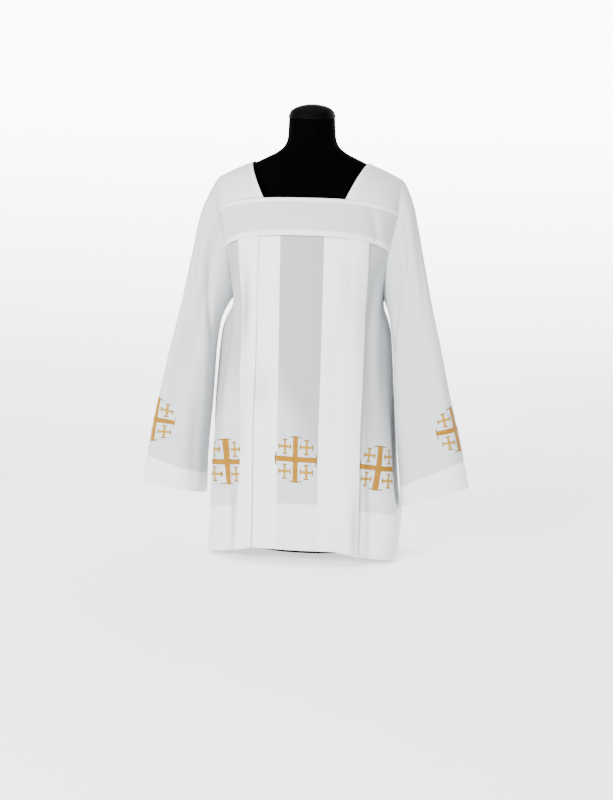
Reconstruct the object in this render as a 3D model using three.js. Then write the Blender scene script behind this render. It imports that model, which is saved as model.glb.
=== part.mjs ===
// A pleated surplice of thin white cloth, worn by a black dress form with no limbs.
// Millimetres. X points to the wearer's left, the front faces -Y and Z is up.
// Heights in the tables are measured from a level that lies FOOT_LEVEL above the floor.
import * as THREE from 'three';

const FOOT_LEVEL = 24;

// Cloth walls and seams
const WALL = 1.0;
const HEM_WALL = 2.0;
const SEAM_GAP = 0.3;
const HEM_STEP = 1.2;

// The hem: its height at the middle and where it falls to the sides
const BODY_HEM_Z = 10;
const BODY_HEM_DEPTH = 111;
const HEM_FALL_START = 90;
const HEM_FALL_END = 236;

// Chest band, back band and neckline
const PLEAT_UNIT = 52;
const NECK_FRONT_ARC = 97;
const NECK_SHOULDER_X = 139;
const ARMHOLE_ARC_LOW = 232;
const ARMHOLE_ARC_TOP = 243;
const UNDERARM_Z = 600;

// The level of each seam at the middle, how far it falls by the armhole, and how far the hem falls to the side
const SEAMS = {
  front: { low: 752, lowFall: 36, lowPower: 2.6, top: 838, topFall: 29, hemFall: 26, face: -1 },
  back: { low: 790, lowFall: 26, lowPower: 3, top: 871, topFall: 22, hemFall: 26, face: 1 },
};
const SEAM_FALL_POWER = 3;

// Shoulder line
const SHOULDER_NECK_Z = 924;
const SHOULDER_TIP_X = 220;
const SHOULDER_SLOPE = 0.35;
const SHOULDER_BEND = 0.0012;
const SHOULDER_Y = -6;
const SHOULDER_FORWARD = 0.22;

// Body sections: half width at the side seam, depth of the front and of the back, and how square the corners are
const BODY_SECTIONS = [
  { z: -20, halfWidth: 231, front: 182, back: 153, power: 3.1 },
  { z: 150, halfWidth: 226, front: 175, back: 143, power: 3.1 },
  { z: 285, halfWidth: 215, front: 169, back: 135, power: 3.0 },
  { z: 430, halfWidth: 196, front: 164, back: 128, power: 2.75 },
  { z: 520, halfWidth: 187, front: 161, back: 124, power: 2.6 },
  { z: 600, halfWidth: 184, front: 158, back: 121, power: 2.5 },
  { z: 700, halfWidth: 202, front: 154, back: 117, power: 2.5 },
  { z: 757, halfWidth: 214, front: 150, back: 113, power: 2.5 },
  { z: 838, halfWidth: 230, front: 131, back: 104, power: 2.5 },
  { z: 890, halfWidth: 236, front: 112, back: 94, power: 2.5 },
];

// The skirt sways to the wearer's left on the way down, and that side bulges above the hem
const SKIRT_SWAY = { out: 6, from: 330, to: 60 };
const SIDE_BULGE = { out: 8, z: 62, height: 38, from: 150, to: 215 };

// Depth of one cloth layer in the pleats, at the bands and at the hem
const LAYER_TOP = 1.7;
const LAYER_HEM = 3.1;

// One half of the pleated section, from the middle to the side seam.
// at: pleat units from the middle, past: millimetres more, turn: layers more, layer: layers behind the face
const PLEAT_HALF = [
  { fold: 'middle', at: 0, past: 0, turn: 0, layer: 2 },
  { fold: 'middle strip', at: 0.5, past: 0, turn: 0, layer: 2 },
  { fold: 'underlay edge', at: 1, past: 0, turn: 0, layer: 2 },
  { fold: 'before tuck', at: 1.6, past: 0, turn: 0, layer: 2 },
  { fold: 'tuck bottom', at: 2, past: 9, turn: 0, layer: 2 },
  { fold: 'tuck turn', at: 2, past: 9, turn: 0.5, layer: 1.5 },
  { fold: 'tuck return', at: 2, past: 9, turn: 0, layer: 1 },
  { fold: 'inner edge', at: 2, past: 0, turn: 0, layer: 1 },
  { fold: 'inner edge turn', at: 2, past: 0, turn: -0.5, layer: 0.5 },
  { fold: 'face start', at: 2, past: 0, turn: 0, layer: 0 },
  { fold: 'face middle', at: 2.5, past: 0, turn: 0, layer: -0.4 },
  { fold: 'face end', at: 3, past: 0, turn: 0, layer: 0 },
  { fold: 'outer edge turn', at: 3, past: 0, turn: 0.55, layer: 0.6 },
  { fold: 'outer edge', at: 3, past: 0, turn: 0, layer: 1.15 },
  { fold: 'under face', at: 2.55, past: 0, turn: 0, layer: 2.2 },
  { fold: 'behind tuck', at: 2, past: 4, turn: 0, layer: 3 },
  { fold: 'underlay front', at: 1, past: 0, turn: 0, layer: 3 },
  { fold: 'underlay turn', at: 1, past: 0, turn: -0.5, layer: 3.5 },
  { fold: 'underlay back', at: 1, past: 0, turn: 0, layer: 4 },
  { fold: 'underlay middle', at: 2, past: 4, turn: 0, layer: 4 },
  { fold: 'side panel start', at: 2.9, past: 0, turn: 0, layer: 2.6 },
  { fold: 'side panel edge', at: 3.15, past: 0, turn: 0, layer: 2.4 },
];
const SIDE_START = 3.15 * PLEAT_UNIT;
const SIDE_COLUMNS = [0.14, 0.3, 0.45, 0.56, 0.66, 0.76, 0.86, 0.94, 1];
const SIDE_LAYER = 2.4;

// Soft folds down the side panels: place as a share of the way from pleat to side seam, push at the hem
const SIDE_FOLDS = [
  { name: 'trough beside the pleat', at: 0.12, width: 0.09, hem: -6 },
  { name: 'ridge at the side front', at: 0.42, width: 0.14, hem: 7 },
  { name: 'trough at the side', at: 0.74, width: 0.1, hem: -6 },
];

const FOLD_FADE_IN = 0.08;
const FOLD_FADE_OUT = 0.12;
const SIDE_SETTLE = 0.5;

// Sleeve rings: outer and inner point of each ring, its depth to the front and the back, and the front's lift
const SLEEVE_RINGS = [
  { along: 0, outX: 220, outZ: 882, inX: 185, inZ: 600, y: -20, front: 50, back: 50, lift: 0 },
  { along: 0.03, outX: 237, outZ: 867, inX: 193, inZ: 586, y: -21, front: 52, back: 52, lift: 0 },
  { along: 0.08, outX: 254, outZ: 824, inX: 203, inZ: 560, y: -24, front: 56, back: 56, lift: 0 },
  { along: 0.15, outX: 267, outZ: 775, inX: 211, inZ: 526, y: -26, front: 61, back: 60, lift: 0 },
  { along: 0.25, outX: 283, outZ: 700, inX: 217, inZ: 480, y: -28, front: 67, back: 65, lift: 0 },
  { along: 0.4, outX: 307, outZ: 590, inX: 222, inZ: 408, y: -30, front: 74, back: 73, lift: 2 },
  { along: 0.55, outX: 334, outZ: 480, inX: 227, inZ: 333, y: -31, front: 80, back: 80, lift: 5 },
  { along: 0.7, outX: 358, outZ: 370, inX: 233, inZ: 259, y: -32, front: 86, back: 86, lift: 8 },
  { along: 0.85, outX: 384, outZ: 258, inX: 239, inZ: 187, y: -33, front: 91, back: 91, lift: 11 },
  { along: 1, outX: 406, outZ: 147, inX: 243, inZ: 106, y: -34, front: 95, back: 95, lift: 14 },
];
const SLEEVE_POWER = 2.25;
const SLEEVE_COLUMNS = 28;
const SLEEVE_ROWS = [0, 0.03, 0.07, 0.12, 0.18, 0.26, 0.36, 0.48, 0.62, 0.77, 0.909, 0.912, 0.955, 1];
const SLEEVE_HEM_START = 0.911;
const SLEEVE_SEAM_TOP = 1.0;
const SLEEVE_SEAM_UNDERARM = 1.4;

// How each sleeve hangs apart from the table: out to the side, its outer edge further out,
// and the cuff's outer and inner edge up
const SLEEVE_HANG = {
  left: { out: -5, edgeOut: 1, outerUp: 9, innerUp: -6 },
  right: { out: 5, edgeOut: -17, outerUp: -9, innerUp: 6 },
};
const SLEEVE_HANG_BLEND = 0.15;
const SLEEVE_HANG_FADE = 0.65;

// The outer edge of the lower sleeve is pressed: it lies forward, and the cloth in front of it is flat
const SLEEVE_EDGE_FORWARD = 60;
const SLEEVE_EDGE_UP = 10;
const SLEEVE_EDGE_POWER = 1.1;
const SLEEVE_EDGE_FULL = 0.55;

// Sleeve folds: place around the ring (0 outer, 0.25 front, 0.5 inner, 0.75 back) at the start and the end
const SLEEVE_FOLDS = [
  { name: 'groove under the shoulder', from: 0, to: 0.3, placeFrom: 0.2, placeTo: 0.44, width: 0.035, deep: 13 },
  { name: 'front valley', from: 0.05, to: 1.1, placeFrom: 0.17, placeTo: 0.26, width: 0.045, deep: 8 },
  { name: 'back valley', from: 0.05, to: 1.1, placeFrom: 0.84, placeTo: 0.73, width: 0.05, deep: 8 },
  { name: 'inner back groove', from: 0, to: 0.4, placeFrom: 0.72, placeTo: 0.6, width: 0.04, deep: 9 },
];

// Dress form rings: half width, depths, forward lean and how far the shoulder tips lie forward
const FORM_COLUMNS = 36;
const FORM_FOOT_HUB = { x: 17, y: -29 };
const FORM_POWER = 2.2;
const FORM_CLEARANCE = 2.0;
const FORM_RINGS = [
  { z: -FOOT_LEVEL, halfWidth: 115, front: 60, back: 70, y: 0, tip: 0 },
  { z: 6 - FOOT_LEVEL, halfWidth: 119, front: 64, back: 74, y: 0, tip: 0 },
  { z: 40, halfWidth: 144, front: 98, back: 92, y: 0, tip: 0 },
  { z: 120, halfWidth: 158, front: 116, back: 101, y: 0, tip: 0 },
  { z: 250, halfWidth: 162, front: 120, back: 104, y: 0, tip: 0 },
  { z: 430, halfWidth: 142, front: 104, back: 88, y: 0, tip: 0 },
  { z: 600, halfWidth: 158, front: 120, back: 96, y: 0, tip: 0 },
  { z: 700, halfWidth: 174, front: 130, back: 98, y: 0, tip: 0 },
  { z: 760, halfWidth: 186, front: 124, back: 96, y: 0, tip: -6 },
  { z: 810, halfWidth: 200, front: 110, back: 90, y: 0, tip: -14 },
  { z: 845, halfWidth: 208, front: 98, back: 84, y: 0, tip: -18 },
  { z: 868, halfWidth: 207, front: 87, back: 77, y: 0, tip: -20 },
];
const FORM_SHOULDER_RINGS = [
  { x: 202, front: 75, back: 68 },
  { x: 190, front: 73, back: 66 },
  { x: 174, front: 70, back: 64 },
  { x: 156, front: 68, back: 63 },
  { x: NECK_SHOULDER_X, front: 65, back: 61 },
];
const NECK_RINGS = [
  { z: 934, halfWidth: 112, front: 62, back: 59, y: -5, tip: -2, tilt: 0 },
  { z: 948, halfWidth: 84, front: 59, back: 57, y: -8, tip: 0, tilt: 0 },
  { z: 963, halfWidth: 66, front: 57, back: 56, y: -11, tip: 0, tilt: 0.2 },
  { z: 982, halfWidth: 58, front: 56, back: 55, y: -14, tip: 0, tilt: 0.5 },
  { z: 1006, halfWidth: 56, front: 55, back: 55, y: -17, tip: 0, tilt: 0.8 },
  { z: 1030, halfWidth: 55, front: 55, back: 55, y: -20, tip: 0, tilt: 1 },
];
const NECK_TILT = THREE.MathUtils.degToRad(9);
const CAP = { radius: 56.5, rim: 6, edge: 1.5, dome: 25, columns: 30, domeSteps: 5 };

const CLOTH_WHITE = { color: 0xf1f4f5, roughness: 0.85, metalness: 0 };
const FORM_BLACK = { color: 0x0c0c0e, roughness: 0.9, metalness: 0 };
const CAP_BLACK = { color: 0x111114, roughness: 0.45, metalness: 0 };

const mix = THREE.MathUtils.lerp;
const ease = (t) => THREE.MathUtils.smoothstep(t, 0, 1);
const bell = (distance, width) => Math.exp(-0.5 * (distance / width) ** 2);

// Reads every column of a table at one value of its key, on a smooth curve through the rows.
function readTable(table, key, value) {
  const last = table.length - 1;
  let row = 0;
  while (row < last - 1 && value > table[row + 1][key]) row += 1;
  const here = table[row];
  const next = table[row + 1];
  const before = table[Math.max(row - 1, 0)];
  const after = table[Math.min(row + 2, last)];
  const span = next[key] - here[key];
  const t = (value - here[key]) / span;
  const result = {};
  for (const column of Object.keys(here)) {
    const leave = ((next[column] - before[column]) / (next[key] - before[key])) * span;
    const arrive = ((after[column] - here[column]) / (after[key] - here[key])) * span;
    result[column] = (2 * t ** 3 - 3 * t ** 2 + 1) * here[column] + (t ** 3 - 2 * t ** 2 + t) * leave
      + (3 * t ** 2 - 2 * t ** 3) * next[column] + (t ** 3 - t ** 2) * arrive;
  }
  return result;
}

// A quarter of the body's plan at one height, from the middle of the front or back to the side seam.
const planCache = new Map();
const PLAN_STEPS = 120;
function quarterPlan(z, face) {
  const key = `${z.toFixed(3)} ${face}`;
  if (planCache.has(key)) return planCache.get(key);
  const section = readTable(BODY_SECTIONS, 'z', z);
  const depth = face < 0 ? section.front : section.back;
  const points = [];
  let length = 0;
  for (let step = 0; step <= PLAN_STEPS; step += 1) {
    const angle = (step / PLAN_STEPS) * (Math.PI / 2);
    const x = section.halfWidth * Math.sin(angle) ** (2 / section.power);
    const y = face * depth * Math.abs(Math.cos(angle)) ** (2 / section.power);
    const normal = new THREE.Vector3(
      (x / section.halfWidth) ** (section.power - 1) / section.halfWidth,
      face * (Math.abs(y) / depth) ** (section.power - 1) / depth,
      0,
    ).normalize();
    const previous = points[points.length - 1];
    if (previous) length += Math.hypot(x - previous.x, y - previous.y);
    points.push({ x, y, normal, length });
  }
  const plan = { points, length };
  planCache.set(key, plan);
  return plan;
}

// A point of the body's cloth. arc is measured from the middle along the cloth, at the level of the bands.
function bodyPoint(face, arc, z, inward = 0) {
  const plan = quarterPlan(z, face);
  const bandLength = quarterPlan(SEAMS.front.low, face).length;
  const side = Math.sign(arc) || 1;
  let distance = Math.abs(arc);
  if (distance > SIDE_START) {
    distance = SIDE_START + ((distance - SIDE_START) * (plan.length - SIDE_START)) / (bandLength - SIDE_START);
  }
  distance = THREE.MathUtils.clamp(distance, 0, plan.length);
  let step = 1;
  while (step < PLAN_STEPS && plan.points[step].length < distance) step += 1;
  const from = plan.points[step - 1];
  const to = plan.points[step];
  const t = (distance - from.length) / (to.length - from.length);
  const normal = from.normal.clone().lerp(to.normal, t).normalize();
  const push = foldPush(arc, z, face) - inward;
  return new THREE.Vector3(
    side * (mix(from.x, to.x, t) + normal.x * push) + skirtSway(arc, z),
    mix(from.y, to.y, t) + normal.y * push,
    z,
  );
}

// How far to the wearer's left the skirt lies at a place.
function skirtSway(arc, z) {
  const all = SKIRT_SWAY.out * ease((SKIRT_SWAY.from - z) / (SKIRT_SWAY.from - SKIRT_SWAY.to));
  const beside = ease((arc - SIDE_BULGE.from) / (SIDE_BULGE.to - SIDE_BULGE.from));
  return all + SIDE_BULGE.out * bell(z - SIDE_BULGE.z, SIDE_BULGE.height) * beside;
}

// How far the soft side folds push the cloth out at a place.
function foldPush(arc, z, face) {
  const bandLength = quarterPlan(SEAMS.front.low, face).length;
  const share = (Math.abs(arc) - SIDE_START) / (bandLength - SIDE_START);
  if (share <= 0 || z > SEAMS.front.low) return 0;
  const down = ease((SEAMS.front.low - z) / (SEAMS.front.low - BODY_HEM_Z));
  const fade = ease(share / FOLD_FADE_IN) * ease((1 - share) / FOLD_FADE_OUT);
  return fade * SIDE_FOLDS.reduce((sum, fold) => sum + bell(share - fold.at, fold.width) * fold.hem * down, 0);
}

// Height of the seam under a band, which turns down into the armhole near the side.
function lowSeamZ(seam, arc) {
  const distance = Math.abs(arc);
  const bandEnd = seam.low - seam.lowFall;
  if (distance <= ARMHOLE_ARC_LOW) return seam.low - seam.lowFall * (distance / ARMHOLE_ARC_LOW) ** seam.lowPower;
  const bandLength = quarterPlan(SEAMS.front.low, seam.face).length;
  const share = (distance - ARMHOLE_ARC_LOW) / (bandLength - ARMHOLE_ARC_LOW);
  return UNDERARM_Z + (bandEnd - UNDERARM_Z) * (1 - Math.sqrt(Math.max(0, 1 - (1 - share) ** 2)));
}

function topSeamZ(seam, arc) {
  return seam.top - seam.topFall * (Math.abs(arc) / ARMHOLE_ARC_TOP) ** SEAM_FALL_POWER;
}

function hemZ(seam, arc) {
  return BODY_HEM_Z - seam.hemFall * ease((Math.abs(arc) - HEM_FALL_START) / (HEM_FALL_END - HEM_FALL_START));
}

// A closed wall of cloth around a grid of middle points. grid[i][j], with outside to the left of i across j.
function clothWall(grid, thickness, closed) {
  const columns = grid.length;
  const rows = grid[0].length;
  const direction = (from, to) => to.clone().sub(from).normalize();
  const outer = [];
  const inner = [];
  for (let i = 0; i < columns; i += 1) {
    outer.push([]);
    inner.push([]);
    for (let j = 0; j < rows; j += 1) {
      const point = grid[i][j];
      const left = closed ? grid[(i + columns - 1) % columns][j] : grid[Math.max(i - 1, 0)][j];
      const right = closed ? grid[(i + 1) % columns][j] : grid[Math.min(i + 1, columns - 1)][j];
      const below = grid[i][Math.max(j - 1, 0)];
      const above = grid[i][Math.min(j + 1, rows - 1)];
      const across = new THREE.Vector3();
      if (left !== point) across.add(direction(left, point));
      if (right !== point) across.add(direction(point, right));
      const up = new THREE.Vector3();
      if (below !== point) up.add(direction(below, point));
      if (above !== point) up.add(direction(point, above));
      const normal = across.cross(up).normalize();
      const half = thickness(i, j) / 2;
      outer[i].push(point.clone().addScaledVector(normal, half));
      inner[i].push(point.clone().addScaledVector(normal, -half));
    }
  }
  const positions = [];
  const index = [];
  const put = (layer) => layer.map((column) => column.map((point) => positions.push(...point) / 3 - 1));
  const out = put(outer);
  const inn = put(inner);
  const quad = (a, b, c, d) => index.push(a, b, c, a, c, d);
  const lastColumn = closed ? columns : columns - 1;
  for (let i = 0; i < lastColumn; i += 1) {
    const k = (i + 1) % columns;
    for (let j = 0; j < rows - 1; j += 1) {
      quad(out[i][j], out[k][j], out[k][j + 1], out[i][j + 1]);
      quad(inn[i][j], inn[i][j + 1], inn[k][j + 1], inn[k][j]);
    }
    quad(out[i][0], inn[i][0], inn[k][0], out[k][0]);
    quad(out[i][rows - 1], out[k][rows - 1], inn[k][rows - 1], inn[i][rows - 1]);
  }
  if (!closed) {
    const end = columns - 1;
    for (let j = 0; j < rows - 1; j += 1) {
      quad(out[0][j], out[0][j + 1], inn[0][j + 1], inn[0][j]);
      quad(out[end][j], inn[end][j], inn[end][j + 1], out[end][j + 1]);
    }
  }
  return solidGeometry(positions, index);
}

function solidGeometry(positions, index) {
  const geometry = new THREE.BufferGeometry();
  geometry.setAttribute('position', new THREE.Float32BufferAttribute(positions, 3));
  geometry.setIndex(index);
  geometry.computeVertexNormals();
  return geometry;
}

// Front panel or back panel: a pleated sheet from the band to the hem.
const PANEL_ROWS = 7;
function skirtPanel(seam) {
  const bandLength = quarterPlan(SEAMS.front.low, seam.face).length;
  const half = PLEAT_HALF.map((row) => ({ arc: row.at * PLEAT_UNIT + row.past, turn: row.turn, layer: row.layer }));
  for (const share of SIDE_COLUMNS) {
    const end = share === 1 ? SEAM_GAP / 2 : 0;
    half.push({ arc: mix(SIDE_START, bandLength, share) - end, turn: 0, layer: SIDE_LAYER });
  }
  const mirrored = half.slice(1).map((row) => ({ ...row, side: -1 })).reverse();
  const columns = [...mirrored, ...half.map((row) => ({ ...row, side: 1 }))];
  if (seam.face > 0) columns.reverse();
  const grid = columns.map((column) => {
    const top = lowSeamZ(seam, column.arc) - SEAM_GAP / 2;
    const hem = hemZ(seam, column.arc);
    const hemTop = hem + BODY_HEM_DEPTH;
    const levels = [hem, mix(hem, hemTop, 0.5), hemTop - HEM_STEP / 2];
    for (let row = 0; row <= PANEL_ROWS; row += 1) levels.push(mix(hemTop + HEM_STEP / 2, top, row / PANEL_ROWS));
    return levels.map((z) => {
      const layer = mix(LAYER_HEM, LAYER_TOP, ease((z - hemTop) / (seam.low - hemTop)));
      const settle = column.layer * layer * sideSettle(column.arc, bandLength);
      return bodyPoint(seam.face, column.side * (column.arc + column.turn * layer), z, settle);
    });
  });
  return clothWall(grid, (i, j) => (j < 3 ? HEM_WALL : WALL), false);
}

// The side panel comes forward from behind the pleats and is flush with the body by the side seam.
function sideSettle(arc, bandLength) {
  const share = (arc - SIDE_START) / (bandLength - SIDE_START);
  return share <= 0 ? 1 : 1 - ease(share / SIDE_SETTLE);
}

const BAND_COLUMNS = 24;
const BAND_ROWS = 4;
function band(seam) {
  const grid = [];
  for (let i = 0; i <= BAND_COLUMNS; i += 1) {
    const share = (2 * i) / BAND_COLUMNS - 1;
    const column = [];
    for (let j = 0; j <= BAND_ROWS; j += 1) {
      const up = j / BAND_ROWS;
      const arc = -seam.face * share * mix(ARMHOLE_ARC_LOW, ARMHOLE_ARC_TOP, up);
      const low = lowSeamZ(seam, share * ARMHOLE_ARC_LOW) + SEAM_GAP / 2;
      const high = topSeamZ(seam, share * ARMHOLE_ARC_TOP) - SEAM_GAP / 2;
      column.push(bodyPoint(seam.face, arc, mix(low, high, up)));
    }
    grid.push(column);
  }
  return clothWall(grid, () => WALL, false);
}

function shoulderZ(x) {
  const out = x - NECK_SHOULDER_X;
  return SHOULDER_NECK_Z - SHOULDER_SLOPE * out - SHOULDER_BEND * out * out;
}

function ridgeY(x) {
  return SHOULDER_Y - SHOULDER_FORWARD * (x - NECK_SHOULDER_X);
}

// A point of a shoulder piece: across from the neck to the armhole, over from the front band to the back band.
function shoulderPoint(side, across, over) {
  const seam = over < 0.5 ? SEAMS.front : SEAMS.back;
  const arc = mix(NECK_FRONT_ARC, ARMHOLE_ARC_TOP, across);
  const edge = bodyPoint(seam.face, arc, topSeamZ(seam, arc) + SEAM_GAP / 2);
  const ridgeX = mix(NECK_SHOULDER_X, SHOULDER_TIP_X, across);
  const angle = over * Math.PI;
  const rise = Math.sin(angle);
  const y = ridgeY(ridgeX) + (edge.y - ridgeY(ridgeX)) * Math.abs(Math.cos(angle));
  return new THREE.Vector3(side * mix(edge.x, ridgeX, rise), y, mix(edge.z, shoulderZ(ridgeX), rise));
}

const SHOULDER_COLUMNS = 8;
const SHOULDER_ROWS = 14;
function shoulder(side) {
  const grid = [];
  for (let i = 0; i <= SHOULDER_COLUMNS; i += 1) {
    const column = [];
    const across = i / SHOULDER_COLUMNS;
    for (let j = 0; j <= SHOULDER_ROWS; j += 1) column.push(shoulderPoint(side, across, j / SHOULDER_ROWS));
    grid.push(column);
  }
  if (side < 0) grid.reverse();
  return clothWall(grid, () => WALL, false);
}

// The armhole from the shoulder line to the underarm, along the front or the back, on the wearer's left.
const ARMHOLE_STEPS = 24;
function halfArmhole(seam) {
  const line = [];
  const steps = [...Array(ARMHOLE_STEPS + 1).keys()].map((step) => step / ARMHOLE_STEPS);
  for (const t of steps) line.push(shoulderPoint(1, 1, seam.face < 0 ? 0.5 * (1 - t) : 0.5 * (1 + t)));
  for (const t of steps) {
    const arc = mix(ARMHOLE_ARC_TOP, ARMHOLE_ARC_LOW, t);
    line.push(bodyPoint(seam.face, arc, mix(topSeamZ(seam, ARMHOLE_ARC_TOP), lowSeamZ(seam, ARMHOLE_ARC_LOW), t)));
  }
  const bandLength = quarterPlan(SEAMS.front.low, seam.face).length;
  for (const t of steps) {
    const arc = mix(ARMHOLE_ARC_LOW, bandLength, t);
    line.push(bodyPoint(seam.face, arc, lowSeamZ(seam, arc)));
  }
  return line;
}

function pointAlong(line, share) {
  const lengths = [0];
  for (let k = 1; k < line.length; k += 1) lengths.push(lengths[k - 1] + line[k].distanceTo(line[k - 1]));
  const wanted = share * lengths[lengths.length - 1];
  let step = 1;
  while (step < line.length - 1 && lengths[step] < wanted) step += 1;
  const span = lengths[step] - lengths[step - 1] || 1;
  return line[step - 1].clone().lerp(line[step], (wanted - lengths[step - 1]) / span);
}

const FRONT_ARMHOLE = halfArmhole(SEAMS.front);
const BACK_ARMHOLE = halfArmhole(SEAMS.back);
function armholePoint(around) {
  return around <= 0.5 ? pointAlong(FRONT_ARMHOLE, around * 2) : pointAlong(BACK_ARMHOLE, (1 - around) * 2);
}

// A point of a sleeve on the wearer's left: around from the outer side over the front, along from the armhole.
const ARMHOLE_BLEND = 0.1;
const ARMHOLE_BLEND_POWER = 0.6;
function sleevePoint(around, along, hang) {
  const ring = readTable(SLEEVE_RINGS, 'along', along);
  const angle = around * 2 * Math.PI;
  const power = 2 / SLEEVE_POWER;
  const across = Math.sign(Math.cos(angle)) * Math.abs(Math.cos(angle)) ** power;
  const pressed = ease(along / SLEEVE_EDGE_FULL);
  const flatFront = Math.cos(angle) > 0 && Math.sin(angle) > 0;
  const forwardPower = flatFront ? mix(power, 2 / SLEEVE_EDGE_POWER, pressed) : power;
  const forward = Math.sign(Math.sin(angle)) * Math.abs(Math.sin(angle)) ** forwardPower;
  const depth = forward > 0 ? ring.front : ring.back;
  const centre = new THREE.Vector3((ring.outX + ring.inX) / 2, ring.y, (ring.outZ + ring.inZ) / 2);
  const reach = new THREE.Vector3((ring.outX - ring.inX) / 2, 0, (ring.outZ - ring.inZ) / 2);
  const spoke = reach.multiplyScalar(across).add(new THREE.Vector3(0, -depth * forward, 0));
  const inward = SLEEVE_FOLDS.reduce((sum, fold) => sum + sleeveFold(fold, around, along), 0);
  const point = centre.add(spoke.clone().setLength(spoke.length() - inward));
  const fade = ease((along - SLEEVE_HANG_FADE) / (1 - SLEEVE_HANG_FADE));
  const edge = Math.max(across, 0) ** 2 * pressed;
  point.x += hang.out * ease(along / SLEEVE_HANG_BLEND) * (1 - fade) + hang.edgeOut * edge;
  point.y -= SLEEVE_EDGE_FORWARD * edge;
  point.z += SLEEVE_EDGE_UP * edge * along;
  point.z += ring.lift * forward + mix(hang.innerUp, hang.outerUp, (1 + across) / 2) * along;
  if (along >= ARMHOLE_BLEND) return point;
  return armholeStart(around, point).lerp(point, ease(along / ARMHOLE_BLEND) ** ARMHOLE_BLEND_POWER);
}

// The sleeve's edge at the armhole, just outside the body's edge.
function armholeStart(around, toward) {
  const edge = armholePoint(around);
  const lead = toward.clone().sub(edge).normalize();
  const gap = mix(SLEEVE_SEAM_TOP, SLEEVE_SEAM_UNDERARM, Math.sin(around * Math.PI) ** 4);
  edge.addScaledVector(lead, SLEEVE_SEAM_TOP * 0.5);
  edge.x += gap;
  return edge;
}

function sleeveFold(fold, around, along) {
  const t = (along - fold.from) / (fold.to - fold.from);
  if (t <= 0 || t >= 1) return 0;
  const place = mix(fold.placeFrom, fold.placeTo, t);
  return fold.deep * Math.sin(Math.PI * t) ** 0.7 * bell(around - place, fold.width);
}

function sleeve(side, hang) {
  const grid = [];
  for (let i = 0; i < SLEEVE_COLUMNS; i += 1) {
    grid.push(SLEEVE_ROWS.map((along) => {
      const point = sleevePoint(i / SLEEVE_COLUMNS, along, hang);
      point.x *= side;
      return point;
    }));
  }
  if (side < 0) grid.reverse();
  return clothWall(grid, (i, j) => (SLEEVE_ROWS[j] > SLEEVE_HEM_START ? HEM_WALL : WALL), true);
}

// The dress form: closed rings stacked from the foot to the neck, with a flat foot and a flat neck top.
function formTorso() {
  const shoulders = FORM_SHOULDER_RINGS.map((row) => ({
    z: shoulderZ(row.x) - WALL / 2 - FORM_CLEARANCE,
    halfWidth: row.x,
    front: row.front,
    back: row.back,
    y: 0,
    tip: ridgeY(row.x),
    tilt: 0,
  }));
  const rings = [...FORM_RINGS, ...shoulders, ...NECK_RINGS];
  const positions = [];
  const index = [];
  for (const ring of rings) {
    for (let i = 0; i < FORM_COLUMNS; i += 1) {
      const angle = (i / FORM_COLUMNS) * 2 * Math.PI;
      const power = 2 / FORM_POWER;
      const x = ring.halfWidth * Math.sign(Math.cos(angle)) * Math.abs(Math.cos(angle)) ** power;
      const deep = Math.sin(angle) < 0 ? ring.front : ring.back;
      const local = deep * Math.sign(Math.sin(angle)) * Math.abs(Math.sin(angle)) ** power;
      const y = ring.y + local + ring.tip * (x / ring.halfWidth) ** 2;
      positions.push(x, y, ring.z + local * Math.tan(NECK_TILT) * (ring.tilt ?? 0));
    }
  }
  const cell = (row, column) => row * FORM_COLUMNS + (column % FORM_COLUMNS);
  for (let row = 0; row < rings.length - 1; row += 1) {
    for (let i = 0; i < FORM_COLUMNS; i += 1) {
      index.push(cell(row, i), cell(row, i + 1), cell(row + 1, i + 1));
      index.push(cell(row, i), cell(row + 1, i + 1), cell(row + 1, i));
    }
  }
  const last = rings.length - 1;
  // The foot's triangles meet off the axis, so the origin lies inside one of them.
  const foot = positions.push(FORM_FOOT_HUB.x, FORM_FOOT_HUB.y, rings[0].z) / 3 - 1;
  const neck = positions.push(0, rings[last].y, rings[last].z) / 3 - 1;
  for (let i = 0; i < FORM_COLUMNS; i += 1) {
    index.push(foot, cell(0, i + 1), cell(0, i));
    index.push(neck, cell(last, i), cell(last, i + 1));
  }
  return solidGeometry(positions, index);
}

// The domed cap that closes the neck.
function neckCap() {
  const profile = [new THREE.Vector2(0, 0), new THREE.Vector2(CAP.radius - CAP.edge, 0)];
  profile.push(new THREE.Vector2(CAP.radius, CAP.edge), new THREE.Vector2(CAP.radius, CAP.rim - CAP.edge));
  for (let step = 0; step <= CAP.domeSteps; step += 1) {
    const angle = (step / CAP.domeSteps) * (Math.PI / 2);
    const radius = step === CAP.domeSteps ? 0 : (CAP.radius - CAP.edge) * Math.cos(angle);
    profile.push(new THREE.Vector2(radius, CAP.rim + CAP.dome * Math.sin(angle)));
  }
  return new THREE.LatheGeometry(profile, CAP.columns).rotateX(Math.PI / 2);
}

const group = new THREE.Group();

function add(name, geometry, finish) {
  const mesh = new THREE.Mesh(geometry, new THREE.MeshStandardMaterial(finish));
  mesh.name = name;
  mesh.position.z = FOOT_LEVEL;
  group.add(mesh);
  return mesh;
}

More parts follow.
